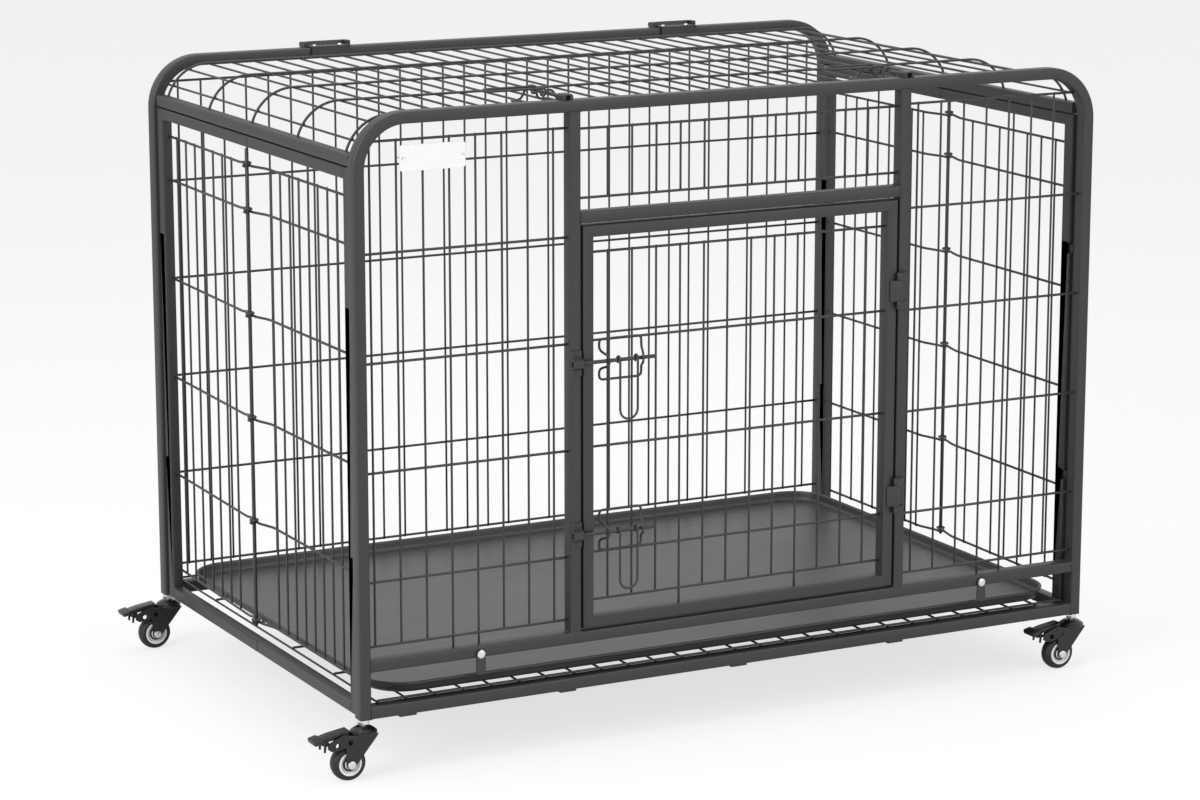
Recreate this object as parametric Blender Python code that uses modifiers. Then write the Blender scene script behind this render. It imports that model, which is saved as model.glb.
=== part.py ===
"""Folding wire dog crate on swivel casters, with a front door, a hinged lid and a slide-out tray.

Two tube frames, front and back, are joined at each end by a pair of half panels that fold inwards
about an upright rod. X runs along the crate, the door looks along -Y, Z is up, and the floor is Z = 0.
Units are metres.
"""

import math

import bmesh
import bpy
from mathutils import Matrix, Vector

# Overall frame
FRAME_LENGTH = 1.075
FRAME_DEPTH = 0.690
FRAME_TOP = 0.828
LEG_FOOT = 0.0755
TUBE_W = 0.015  # tube width seen from the front
TUBE_D = 0.020  # tube depth, front to back
CORNER_R = 0.070
ARC_STEPS = 8
SEAT = 0.0003  # gap between pieces that touch
BITE = 0.001  # how far one shape runs into the next before they are joined

# Front frame rails and posts
BOTTOM_RAIL_H = 0.016
LOWER_RAIL_Z = 0.1355  # underside of the rail over the tray slot
HEADER_Z = 0.6735
LEFT_POST_X = -0.2383
RIGHT_POST_X = 0.2429
DOOR_GAP = 0.0029

# Wires
WIRE_R = 0.0016
UPRIGHT_R = 0.0014
WELD_DEPTH = 0.0012  # how far two welded wires sink into each other
LEVEL_DROP = 0.035  # from a frame's top to its highest level wire
LEVEL_RISE = 0.0155  # from the lower rail to the lowest level wire
MIDDLE_LEVELS = (0.6565, 0.5215, 0.385, 0.2475)
BAR_PITCH = 0.0354
SMALL_PITCH = 0.0345
BAR_MARGIN = 0.009  # least room between a tube and the upright nearest it
LONG_BARS = (3, 4)  # uprights that run on down to the rail
UPPER_DROP = 0.037
UPPER_RISE = 0.016
UPPER_MARGIN = 0.035
DOOR_LEVEL_DROP = 0.0201
DOOR_LEVEL_RISE = 0.0199
DOOR_MIDDLE_LEVELS = (0.5235, 0.387, 0.2505)
DOOR_MARGIN = 0.016
DOOR_LONG_BARS = (3, 8)
LOW_LEVEL_RISE = 0.025  # from a bottom rail to the back's and the ends' lowest level wires
BACK_PITCH = 0.0332

# End panels
PANEL_T = 0.015
PANEL_INSET = 0.004  # from a frame's outer side to a panel's outer side
STILE_D = 0.018
STILE_GAP = 0.0035
PANEL_DROP = 0.0675  # from a frame's top to an end panel's
PANEL_RAIL_H = 0.015
HINGE_LEVELS = (0.268, 0.580)
HINGE_H = 0.013
HINGE_R = 0.0045
MID_GAP = 0.0005
ROD_R = 0.0025
END_LEVEL_DROPS = (0.0385, 0.098)  # from an end panel's top to its two highest level wires
END_MIDDLE_LEVELS = (0.5265, 0.389, 0.2515)
END_WIRE_IN = 0.003  # from a panel's inner side to its level wires
STRAIGHT_PITCH = 0.035
STRAIGHT_MARGIN = 0.045  # least room between the rod's side and an upright
CRANKED_PITCH = 0.030
CRANKED_MARGIN = 0.005
CRANK_RUN = 0.028  # the last of a level wire, that leads to the rod
EYE_LIFT = 0.004  # how far a straight half's wires rise at the rod, to pass over the cranked ones
FIRST_BAR = 0.020  # from a stile to its nearest upright

# Lid
LID_RAIL_H = 0.015
LID_RAIL_GAP = 0.0015
LID_FOOT_GAP = 0.0009
LID_END_GAP = 0.0045
LID_WIRE_DROP = 0.0085  # from a frame's top to the lid's lengthwise wires
LID_BEND_R = 0.060
LID_BEND_OUT = 0.002  # from the end rail's middle out to the bent wires' lower ends
LID_LONG_INSET = 0.028  # from a frame's inner side to the nearest lengthwise wire
LID_LONG_Y = 0.148  # from the middle lengthwise wire to the next
LID_CROSS_PITCH = 0.033
LID_CROSS_MARGIN = 0.006
LID_HINGE_X = 0.275
LEAF_W = 0.057
LEAF_T = 0.002
KNUCKLE_R = 0.004
HINGE_PIN_R = 0.0022
LUG_W = 0.006

# Door hinges
DOOR_HINGE_LEVELS = (0.276, 0.551)
DOOR_HINGE_H = 0.048
DOOR_PIN_R = 0.0025
DOOR_LUG_R = 0.0045
DOOR_LUG_H = 0.010
DOOR_LEAF_W = 0.011

# Slide bolts
BOLT_R = 0.0025
BOLT_LEVELS = (0.2775, 0.498)
BOLT_L = 0.104
GUIDE_W = 0.060
GUIDE_H = 0.052
GUIDE_PINCH = 0.006
GUIDE_BEND = 0.006
GUIDE_INSET = 0.042  # from the door's left tube to the guide's middle
HANDLE_W = 0.025
HANDLE_DROP = 0.076
HANDLE_R = 0.0015
EYE_R = 0.0044
HANDLE_INSET = 0.0152  # from the guide's side to the handle's nearer leg
KEEPER_W = 0.0145
KEEPER_H = 0.032
KEEPER_D = 0.0085
KEEPER_T = 0.002
LID_BOLT_X = (-0.2475, 0.2475)

# Tray, floor grid and tray latches
TRAY_END_GAP = 0.0115  # from an end panel's inner side to the tray
TRAY_FRONT_INSET = 0.011  # from the front frame's face to the tray's front
TRAY_BACK_INSET = 0.015
TRAY_LIFT = 0.007  # from the bottom rail to the tray's underside
TRAY_H = 0.0145
TRAY_RIM = 0.004
TRAY_SHEET = 0.001
TRAY_CORNER_R = 0.055
GRID_END_GAP = 0.007
GRID_LIFT = 0.0005
GRID_BARS = 27
GRID_LONG_BARS = 6
FOOT_INSET = 0.0655  # from the frame's left side to its first pad
FOOT_SHIFTS = (-0.0102, 0.0015, -0.0014)  # from the left post, the middle and the right post
FOOT_W = 0.023
FOOT_D = 0.014
FOOT_H = 0.003
LATCH_INSET = 0.164  # from a frame's end to a latch's middle
LATCH_RISE = 0.005  # from the lower rail's underside to a latch's rivet
LATCH_RUN = 0.0008  # from the tray's rim to a latch's lower end
LATCH_W = 0.014
LATCH_T = 0.002
RIVET_R = 0.0025
RIVET_HEAD_R = 0.0055

# Casters
WHEEL_R = 0.0225
TYRE_W = 0.018
HUB_R = 0.0155
TRAIL = 0.022
CHEEK_T = 0.002
CHEEK_GAP = 0.0015
AXLE_R = 0.003
AXLE_NUT_R = 0.0055
HEAD_R = 0.017
HEAD_Z = 0.0575
HEAD_H = 0.009
HEAD_EDGE = 0.003
STEM_R = 0.0043
NUT_R = 0.008
RUN_GAP = 0.0004
BOSS_R = 0.0065
CHEEK_REAR = ((-0.031, 0.0625), (-0.051, 0.0545), (-0.053, 0.0460), (-0.048, 0.0425), (-0.038, 0.0425))
NECK_Z = 0.0455
TYRE_EDGE = 0.004
TREAD_DROP = 0.001
TREAD_EDGE = 0.0024
HUB_FACE = 0.0005
HUB_BOSS_R = 0.006
HUB_WEB = 0.003
HUB_RIM_DROP = 0.002
HUB_TAPER = 0.001
AXLE_NUT_H = 0.0032
SIGHT_R = 0.0033
SIGHT_HOLES = ((-0.039, 0.0490), (-0.0225, 0.0505))
PEDAL_PIVOT = (-0.030, 0.0583)
PEDAL_REACH = 0.070
PEDAL_TIP_Z = 0.0565
PEDAL_ROOT = (-0.0225, 0.0660)
PEDAL_EYE_R = 0.0038
PEDAL_T = 0.003
PEDAL_PIN_R = 0.002
PEDAL_SIDE_GAP = 0.0015
PEDAL_BACK = ((-0.057, 0.0415), (-0.054, 0.0410), (-0.0525, 0.0555))  # the catch under the tip
PEDAL_NECK = (0.014, 0.002)  # where the lever's underside turns down, from its tip
PAD_L = 0.013
PAD_SIDE = 0.004
ROUND_SIDES = 12

# Places worked out from the sizes above
HALF_L = FRAME_LENGTH / 2
HALF_D = FRAME_DEPTH / 2
FRAME_Y = HALF_D - TUBE_D / 2
INNER_X = HALF_L - TUBE_W
INNER_Y = HALF_D - TUBE_D
BOTTOM_RAIL_TOP = LEG_FOOT + BOTTOM_RAIL_H
LOWER_RAIL_TOP = LOWER_RAIL_Z + TUBE_W
PANEL_TOP = FRAME_TOP - PANEL_DROP
LEVELS = (FRAME_TOP - LEVEL_DROP, *MIDDLE_LEVELS, LOWER_RAIL_TOP + LEVEL_RISE)
LOW_LEVEL = BOTTOM_RAIL_TOP + LOW_LEVEL_RISE
END_LEVELS = (*[PANEL_TOP - drop for drop in END_LEVEL_DROPS], *END_MIDDLE_LEVELS, LOW_LEVEL)
UPPER_LEVELS = (FRAME_TOP - UPPER_DROP, HEADER_Z + TUBE_W + UPPER_RISE)
INNER_R = CORNER_R - TUBE_W
PANEL_OUT = HALF_L - PANEL_INSET
PANEL_IN = PANEL_OUT - PANEL_T
PANEL_X = (PANEL_OUT + PANEL_IN) / 2
STILE_FRONT = INNER_Y - STILE_GAP
PIVOT_Y = STILE_FRONT - STILE_D / 2
ROD_X = PANEL_OUT + MID_GAP
END_WIRE_X = PANEL_IN + END_WIRE_IN
DOOR_LEFT = LEFT_POST_X + TUBE_W / 2 + DOOR_GAP
DOOR_RIGHT = RIGHT_POST_X - TUBE_W / 2 - DOOR_GAP
DOOR_BOTTOM = LOWER_RAIL_TOP + DOOR_GAP
DOOR_TOP = HEADER_Z - DOOR_GAP
DOOR_LEVELS = (DOOR_TOP - TUBE_W - DOOR_LEVEL_DROP, *DOOR_MIDDLE_LEVELS,
               DOOR_BOTTOM + TUBE_W + DOOR_LEVEL_RISE)
DOOR_AXIS = (RIGHT_POST_X - TUBE_W / 2 - DOOR_GAP / 2, -HALF_D - DOOR_LUG_R - SEAT)
LID_RAIL_Z = PANEL_TOP + LID_RAIL_GAP
LID_AXIS = (HALF_D + KNUCKLE_R + SEAT, FRAME_TOP + KNUCKLE_R - LEAF_T / 2)
LID_WIRE_Z = FRAME_TOP - LID_WIRE_DROP
LID_LONG_END = INNER_Y - LID_LONG_INSET
LID_LONG_WIRES = (-LID_LONG_END, -LID_LONG_Y, 0.0, LID_LONG_Y, LID_LONG_END)
GRID_Z = BOTTOM_RAIL_TOP + GRID_LIFT + WIRE_R
GRID_HALF_L = PANEL_IN - GRID_END_GAP
TRAY_HALF_L = PANEL_IN - TRAY_END_GAP
TRAY_FRONT = HALF_D - TRAY_FRONT_INSET
TRAY_BACK = HALF_D - TRAY_BACK_INSET
TRAY_Z = BOTTOM_RAIL_TOP + TRAY_LIFT
FOOT_X = (FOOT_INSET - HALF_L, LEFT_POST_X + FOOT_SHIFTS[0], FOOT_SHIFTS[1], RIGHT_POST_X + FOOT_SHIFTS[2])
AXLE_Z = WHEEL_R
CHEEK_IN = TYRE_W / 2 + CHEEK_GAP
CHEEK_OUT = CHEEK_IN + CHEEK_T
STEM_X = HALF_L - TUBE_W / 2
BOLT_Y = -HALF_D - SEAT - BOLT_R
GUIDE_X = DOOR_LEFT + TUBE_W + GUIDE_INSET
BOLT_TIP_X = LEFT_POST_X + TUBE_W / 2 + SEAT
LID_BOLT_Z = FRAME_TOP + SEAT + BOLT_R
LID_BOLT_TIP_Y = SEAT - INNER_Y
LID_GUIDE_Y = LID_BOLT_TIP_Y + GUIDE_X - BOLT_TIP_X
LATCH_X = HALF_L - LATCH_INSET
LATCH_Z = LOWER_RAIL_Z + LATCH_RISE
LATCH_Y = -HALF_D - SEAT - LATCH_T / 2
LID_ARC_X = PANEL_X + LID_BEND_OUT - LID_BEND_R
WIRE_LAYER = WIRE_R + UPRIGHT_R - WELD_DEPTH
CLEAR_LAYER = WIRE_R + UPRIGHT_R + SEAT
LIFT = CLEAR_LAYER - WIRE_LAYER


def clear_scene():
    """Removes whatever the startup scene holds."""
    for obj in list(bpy.data.objects):
        bpy.data.objects.remove(obj)


def collection_named(name):
    group = bpy.data.collections.new(name)
    bpy.context.scene.collection.children.link(group)
    return group


def material(name, colour, roughness, metallic):
    mat = bpy.data.materials.new(name)
    mat.use_nodes = True
    shader = mat.node_tree.nodes["Principled BSDF"]
    shader.inputs["Base Color"].default_value = (*colour, 1.0)
    shader.inputs["Roughness"].default_value = roughness
    shader.inputs["Metallic"].default_value = metallic
    return mat


clear_scene()
CRATE = collection_named("folding_dog_crate")
FINISHES = {
    "frame": material("frame_coat", (0.075, 0.080, 0.080), 0.45, 0.35),
    "wire": material("wire_coat", (0.035, 0.038, 0.038), 0.45, 0.35),
    "tray": material("tray_sheet", (0.16, 0.16, 0.16), 0.5, 0.3),
    "rubber": material("tyre_rubber", (0.02, 0.02, 0.02), 0.8, 0.0),
    "hub": material("hub_nylon", (0.75, 0.75, 0.73), 0.4, 0.0),
    "fork": material("fork_steel", (0.015, 0.015, 0.015), 0.35, 0.3),
    "bright": material("bright_steel", (0.6, 0.6, 0.6), 0.3, 1.0),
}


def add_object(name, mesh):
    obj = bpy.data.objects.new(name, mesh)
    CRATE.objects.link(obj)
    return obj


def evaluated_mesh(obj):
    """A mesh of the object with its modifiers and its place applied; the object itself goes."""
    graph = bpy.context.evaluated_depsgraph_get()
    graph.update()
    place = obj.matrix_world.copy()
    mesh = bpy.data.meshes.new_from_object(obj.evaluated_get(graph))
    mesh.transform(place)
    bpy.data.objects.remove(obj)
    shape = bmesh.new()
    shape.from_mesh(mesh)
    bmesh.ops.remove_doubles(shape, verts=shape.verts, dist=1e-6)
    bmesh.ops.recalc_face_normals(shape, faces=shape.faces)
    shape.to_mesh(mesh)
    shape.free()
    return mesh


def joined(meshes):
    """One mesh that holds several that don't meet."""
    shape = bmesh.new()
    for mesh in meshes:
        shape.from_mesh(mesh)
    mesh = bpy.data.meshes.new("joined")
    shape.to_mesh(mesh)
    shape.free()
    return mesh


def boolean(base, other, operation):
    """The union or difference of two meshes, as a new mesh."""
    obj = add_object("base", base)
    tool = add_object("tool", other)
    change = obj.modifiers.new("join", "BOOLEAN")
    change.operation = operation
    change.object = tool
    mesh = evaluated_mesh(obj)
    bpy.data.objects.remove(tool)
    return mesh


def finished(name, mesh, finish, smooth=False):
    mesh.name = name
    mesh.materials.clear()
    mesh.materials.append(FINISHES[finish])
    if smooth:
        mesh.shade_smooth()
        mesh.set_sharp_from_angle(angle=math.radians(40))
    return add_object(name, mesh)


def arc(cx, cy, radius, start, stop, steps=ARC_STEPS):
    """Points along an arc, angles in degrees from +X towards +Y."""
    angles = [math.radians(start + (stop - start) * i / steps) for i in range(steps + 1)]
    return [(cx + radius * math.cos(a), cy + radius * math.sin(a)) for a in angles]


def box_outline(x0, y0, x1, y1):
    return [(x0, y0), (x1, y0), (x1, y1), (x0, y1)]


# Each plane turns an outline's own x, y and thickness into world axes.
PLANES = {
    "xz": Matrix(((1, 0, 0, 0), (0, 0, -1, 0), (0, 1, 0, 0), (0, 0, 0, 1))),
    "yz": Matrix(((0, 0, 1, 0), (1, 0, 0, 0), (0, 1, 0, 0), (0, 0, 0, 1))),
    "xy": Matrix.Identity(4),
}


def plate(plane, outlines, low, high):
    """A flat outline, with any holes, made solid between two places across its plane."""
    curve = bpy.data.curves.new("outline", "CURVE")
    curve.dimensions = "2D"
    curve.fill_mode = "BOTH"
    curve.extrude = (high - low) / 2
    for points in outlines:
        spline = curve.splines.new("POLY")
        spline.points.add(len(points) - 1)
        for point, (x, y) in zip(spline.points, points):
            point.co = (x, y, 0.0, 1.0)
        spline.use_cyclic_u = True
    obj = add_object("outline", curve)
    middle = (low + high) / 2
    shift = {"xz": (0, middle, 0), "yz": (middle, 0, 0), "xy": (0, 0, middle)}[plane]
    obj.matrix_world = Matrix.Translation(shift) @ PLANES[plane]
    bpy.context.view_layer.update()
    return evaluated_mesh(obj)


def wires(paths, radius, closed=False, resolution=0):
    """Wires of one radius, each along its own path of points."""
    curve = bpy.data.curves.new("wire", "CURVE")
    curve.dimensions = "3D"
    curve.bevel_depth = radius
    curve.bevel_resolution = resolution
    curve.use_fill_caps = True
    for points in paths:
        spline = curve.splines.new("POLY")
        spline.points.add(len(points) - 1)
        for point, place in zip(spline.points, points):
            point.co = (*place, 1.0)
        spline.use_cyclic_u = closed
    return evaluated_mesh(add_object("wire", curve))


def turned(profile, place, axis="Z", steps=ROUND_SIDES):
    """A profile of (radius, height) points, top to bottom on its outer side, turned about an axis."""
    mesh = bpy.data.meshes.new("profile")
    count = len(profile)
    edges = [(i, (i + 1) % count) for i in range(count)]
    if profile[0][0] == 0:
        edges = edges[:-1]
    mesh.from_pydata([(r, 0, z) for r, z in profile], edges, [])
    obj = add_object("profile", mesh)
    screw = obj.modifiers.new("turn", "SCREW")
    screw.steps = screw.render_steps = steps
    screw.use_merge_vertices = True
    screw.merge_threshold = 1e-5
    turn = {"Z": Matrix.Identity(4), "Y": Matrix.Rotation(math.pi / 2, 4, "X"),
            "X": Matrix.Rotation(math.pi / 2, 4, "Y")}[axis]
    obj.matrix_world = Matrix.Translation(place) @ turn
    bpy.context.view_layer.update()
    return evaluated_mesh(obj)


def rod(start, end, radius, sides=ROUND_SIDES):
    """A plain round bar from one point to another."""
    start, end = Vector(start), Vector(end)
    shape = bmesh.new()
    bmesh.ops.create_cone(shape, cap_ends=True, segments=sides, radius1=radius, radius2=radius,
                          depth=(end - start).length)
    turn = Vector((0, 0, 1)).rotation_difference(end - start).to_matrix().to_4x4()
    bmesh.ops.transform(shape, matrix=Matrix.Translation((start + end) / 2) @ turn,
                        verts=shape.verts)
    mesh = bpy.data.meshes.new("rod")
    shape.to_mesh(mesh)
    shape.free()
    return mesh


def ring_of(cx, cy, radius, sides=12):
    return arc(cx, cy, radius, 0, 360 - 360 / sides, sides - 1)


def mirrored(mesh, axis):
    """The mesh reflected through the middle of the crate, X or Y."""
    copy = mesh.copy()
    sign = Matrix.Scale(-1, 4, (1, 0, 0) if axis == "X" else (0, 1, 0))
    copy.transform(sign)
    copy.flip_normals()
    return copy


def half_turned(mesh):
    """The mesh turned half round about the crate's upright middle line."""
    copy = mesh.copy()
    copy.transform(Matrix.Rotation(math.pi, 4, "Z"))
    return copy


# Wire grids

def even(first, pitch, count):
    return [first + pitch * i for i in range(count)]


def centred(left, right, pitch, margin):
    """As many places a pitch apart as leave the margin free at both ends, about the middle."""
    count = int((right - left - 2 * margin) / pitch) + 1
    return even((left + right - pitch * (count - 1)) / 2, pitch, count)


def grid(levels, uprights, place, layer_of=WIRE_LAYER):
    """A welded grid in one plane.

    levels: (height, start, end) of each level wire. uprights: (across, foot, top) of each upright.
    place turns (across, depth, height) into a world point. The outer level wires are welded to
    every upright they cross, and the two outer uprights to every level wire.
    """
    top, foot = max(l[0] for l in levels), min(l[0] for l in levels)
    level_paths = []
    for z, a, b in levels:
        depth = 0.0 if z in (top, foot) else -(CLEAR_LAYER - layer_of)
        level_paths.append([place(a, depth, z), place(b, depth, z)])
    upright_paths = []
    last = len(uprights) - 1
    for i, (x, low, high) in enumerate(uprights):
        outer = i in (0, last)
        depth = layer_of - (CLEAR_LAYER - layer_of) / 2 if outer else layer_of
        upright_paths.append([place(x, depth, low), place(x, depth, high)])
    return boolean(wires(upright_paths, UPRIGHT_R), wires(level_paths, WIRE_R), "UNION")


def front_place(x, depth, z):
    return (x, -FRAME_Y + depth, z)


def back_place(x, depth, z):
    return (x, FRAME_Y - depth, z)


def corner_height(x):
    """Height of the inside of a frame's rounded top corner at this place along the crate."""
    past = abs(x) - (HALF_L - CORNER_R)
    if past <= 0:
        return FRAME_TOP - TUBE_W
    return FRAME_TOP - CORNER_R + math.sqrt(max(INNER_R**2 - past**2, 0.0))


def corner_width(z):
    """Half the inside width of a frame at this height."""
    past = z - (FRAME_TOP - CORNER_R)
    if past <= 0:
        return INNER_X
    return HALF_L - CORNER_R + math.sqrt(max(INNER_R**2 - past**2, 0.0))


def frame_outline():
    """An upside-down U with rounded top corners, closed by the bottom rail."""
    z = FRAME_TOP - CORNER_R
    x = HALF_L - CORNER_R
    return ([(-HALF_L, LEG_FOOT), (HALF_L, LEG_FOOT)] + arc(x, z, CORNER_R, 0, 90)
            + arc(-x, z, CORNER_R, 90, 180))


def hinge_tabs(side, facing):
    """Tabs that stand from a leg's inner side to the end panel's pivot line, at both hinge levels."""
    tabs = []
    start = facing * (INNER_Y + BITE)
    pivot = facing * PIVOT_Y
    turn = (180, 360) if facing > 0 else (180, 0)
    outline = arc(side * PANEL_X, pivot, HINGE_R, *turn)
    outline += [(side * PANEL_X + HINGE_R, start), (side * PANEL_X - HINGE_R, start)]
    for level in HINGE_LEVELS:
        half = HINGE_H / 2 - SEAT
        tabs.append(plate("xy", [outline], level - half, level + half))
    return tabs


def caster_stem(side, facing):
    """Nut and rivet under a leg."""
    top = LEG_FOOT + BITE
    collar = HEAD_Z + HEAD_H + RUN_GAP
    profile = [(0, top), (NUT_R, top), (NUT_R, collar), (STEM_R - RUN_GAP, collar),
               (STEM_R - RUN_GAP, HEAD_Z), (0, HEAD_Z)]
    return turned(profile, (side * STEM_X, facing * FRAME_Y, 0), steps=12)


def door_lug(post_side, z0, z1):
    """A hinge ring round the door's pin with a foot on the tube beside it: +1 right post, -1 door."""
    cx, cy = DOOR_AXIS
    face = -HALF_D
    edge = cx + post_side * (DOOR_GAP / 2 + SEAT)
    far = edge + post_side * DOOR_LEAF_W
    rim = arc(0, 0, DOOR_LUG_R, 75, 325)
    outline = [(cx + post_side * x, cy + y) for x, y in rim]
    outline += [(far, face - LEAF_T), (far, face + BITE), (edge, face + BITE)]
    return plate("xy", [outline, ring_of(cx, cy, DOOR_PIN_R + SEAT)], z0, z1)


def make_front_frame():
    z_low, z_high = LOWER_RAIL_TOP, FRAME_TOP - TUBE_W
    left_in, right_in = LEFT_POST_X - TUBE_W / 2, LEFT_POST_X + TUBE_W / 2
    door_right = RIGHT_POST_X - TUBE_W / 2
    last_left = RIGHT_POST_X + TUBE_W / 2
    arc_z, arc_x = FRAME_TOP - CORNER_R, HALF_L - CORNER_R
    holes = [
        box_outline(-INNER_X, BOTTOM_RAIL_TOP, INNER_X, LOWER_RAIL_Z),
        box_outline(right_in, z_low, door_right, HEADER_Z),
        box_outline(right_in, HEADER_Z + TUBE_W, door_right, z_high),
        [(-INNER_X, z_low), (left_in, z_low), (left_in, z_high)] + arc(-arc_x, arc_z, INNER_R, 90, 180),
        [(last_left, z_low), (INNER_X, z_low)] + arc(arc_x, arc_z, INNER_R, 0, 90) + [(last_left, z_high)],
    ]
    body = plate("xz", [frame_outline()] + holes, -HALF_D, -INNER_Y)
    extras = hinge_tabs(-1, -1) + hinge_tabs(1, -1) + [caster_stem(-1, -1), caster_stem(1, -1)]
    for level in DOOR_HINGE_LEVELS:
        low, high = level - DOOR_HINGE_H / 2, level + DOOR_HINGE_H / 2
        extras += [door_lug(1, low, low + DOOR_LUG_H), door_lug(1, high - DOOR_LUG_H, high)]
    for level in BOLT_LEVELS:
        extras.append(door_keeper(level))
    for x in LID_BOLT_X:
        extras.append(lid_keeper(x))
    for side in (-1, 1):
        extras.append(latch_rivet(side))
    for x in FOOT_X:
        outline = box_outline(x - FOOT_W / 2, LEG_FOOT - FOOT_H, x + FOOT_W / 2, LEG_FOOT + BITE)
        extras.append(plate("xz", [outline], -FRAME_Y - FOOT_D / 2, -FRAME_Y + FOOT_D / 2))
    return finished("front_frame", boolean(body, joined(extras), "UNION"), "frame")


def door_keeper(level):
    """A folded plate on the left post with a mouth for the bolt's tip."""
    face, front = -HALF_D + BITE, -HALF_D - KEEPER_D
    right = LEFT_POST_X + TUBE_W / 2 - SEAT
    left = right - KEEPER_W
    half = KEEPER_H / 2
    mouth = BOLT_R + RUN_GAP
    outline = box_outline(left, level - half, right, level + half)
    body = plate("xz", [outline], front, face)
    hole = plate("xz", [box_outline(left + KEEPER_T, level - mouth, right + BITE, level + mouth)],
                 BOLT_Y - mouth, BOLT_Y + mouth)
    return boolean(body, hole, "DIFFERENCE")


def lid_keeper(x):
    """A low block on the front rail with a mouth at its back for a lid bolt."""
    mouth = BOLT_R + RUN_GAP
    front, back = -HALF_D + KEEPER_T, -INNER_Y - SEAT
    outline = box_outline(x - KEEPER_W / 2, front, x + KEEPER_W / 2, back)
    body = plate("xy", [outline], FRAME_TOP - BITE, LID_BOLT_Z + mouth + KEEPER_T)
    hole = plate("xy", [box_outline(x - mouth, front + KEEPER_T, x + mouth, back + BITE)],
                 LID_BOLT_Z - mouth, LID_BOLT_Z + mouth)
    return boolean(body, hole, "DIFFERENCE")


def latch_rivet(side):
    """The rivet that a tray latch swings on."""
    back, front = -HALF_D + BITE, LATCH_Y - LATCH_T / 2 - SEAT
    head = front - 0.002
    profile = [(0, -head), (RIVET_HEAD_R, -head), (RIVET_HEAD_R, -front), (RIVET_R, -front),
               (RIVET_R, -back), (0, -back)]
    return turned(profile, (side * LATCH_X, 0, LATCH_Z), "Y", steps=12)


def make_tray_latch(name, side):
    """A teardrop tab: narrow at its rivet, wide at its lower end, just over the tray's rim."""
    x, foot = side * LATCH_X, TRAY_Z + TRAY_H + LATCH_RUN
    wide = LATCH_W / 2
    low = foot + wide
    outline = arc(x, low, wide, 180, 360) + arc(x, LATCH_Z, RIVET_HEAD_R + 0.0005, 0, 180)
    hole = ring_of(x, LATCH_Z, RIVET_R + SEAT)
    mesh = plate("xz", [outline, hole], LATCH_Y - LATCH_T / 2, LATCH_Y + LATCH_T / 2)
    return finished(name, mesh, "frame")


def make_back_frame():
    z_high = FRAME_TOP - CORNER_R
    arc_x = HALF_L - CORNER_R
    hole = ([(-INNER_X, BOTTOM_RAIL_TOP), (INNER_X, BOTTOM_RAIL_TOP)]
            + arc(arc_x, z_high, INNER_R, 0, 90) + arc(-arc_x, z_high, INNER_R, 90, 180))
    body = plate("xz", [frame_outline(), hole], INNER_Y, HALF_D)
    extras = hinge_tabs(-1, 1) + hinge_tabs(1, 1) + [caster_stem(-1, 1), caster_stem(1, 1)]
    axis_y, axis_z = LID_AXIS
    for side in (-1, 1):
        for end in (-1, 1):
            middle = side * LID_HINGE_X + end * (LEAF_W / 2 + SEAT + LUG_W / 2)
            outline = arc(axis_y, axis_z, KNUCKLE_R, -90, 90)
            outline += [(HALF_D - TUBE_D / 2, axis_z + KNUCKLE_R), (HALF_D - TUBE_D / 2, FRAME_TOP - BITE),
                        (HALF_D - BITE, FRAME_TOP - BITE), (HALF_D - BITE, axis_z - KNUCKLE_R)]
            extras.append(plate("yz", [outline], middle - LUG_W / 2, middle + LUG_W / 2))
    return finished("back_frame", boolean(body, joined(extras), "UNION"), "frame")


def make_front_meshes():
    pieces = []
    for name, side, edge in (("front_left_mesh", -1, LEFT_POST_X - TUBE_W / 2),
                             ("front_right_mesh", 1, RIGHT_POST_X + TUBE_W / 2)):
        levels = []
        for z in LEVELS:
            ends = sorted((side * (corner_width(z + WIRE_R) - SEAT), edge + side * SEAT))
            levels.append((z, *ends))
        first = edge + side * BAR_PITCH / 2
        count = int((INNER_X - BAR_MARGIN - side * first) / BAR_PITCH) + 1
        uprights = []
        for i, x in enumerate(even(first, side * BAR_PITCH, count)):
            foot = LOWER_RAIL_TOP + SEAT if i in LONG_BARS else LEVELS[-1] - UPRIGHT_R
            top = min(LEVELS[0] + UPRIGHT_R, corner_height(abs(x) + UPRIGHT_R) - SEAT)
            uprights.append((x, foot, top))
        pieces.append(finished(name, grid(levels, uprights, front_place), "wire"))
    left, right = LEFT_POST_X + TUBE_W / 2 + SEAT, RIGHT_POST_X - TUBE_W / 2 - SEAT
    levels = [(z, left, right) for z in UPPER_LEVELS]
    uprights = [(x, UPPER_LEVELS[1] - UPRIGHT_R, UPPER_LEVELS[0] + UPRIGHT_R)
                for x in centred(left, right, SMALL_PITCH, UPPER_MARGIN)]
    pieces.append(finished("front_upper_mesh", grid(levels, uprights, front_place), "wire"))
    return pieces


def make_back_mesh():
    levels = []
    for z in (*LEVELS[:-1], LOW_LEVEL):
        half = corner_width(z + WIRE_R) - SEAT
        levels.append((z, -half, half))
    uprights = []
    for x in centred(-INNER_X, INNER_X, BACK_PITCH, BAR_MARGIN):
        top = min(LEVELS[0] + UPRIGHT_R, corner_height(abs(x) + UPRIGHT_R) - SEAT)
        uprights.append((x, LOW_LEVEL - UPRIGHT_R, top))
    return finished("back_mesh", grid(levels, uprights, back_place), "wire")


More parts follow.
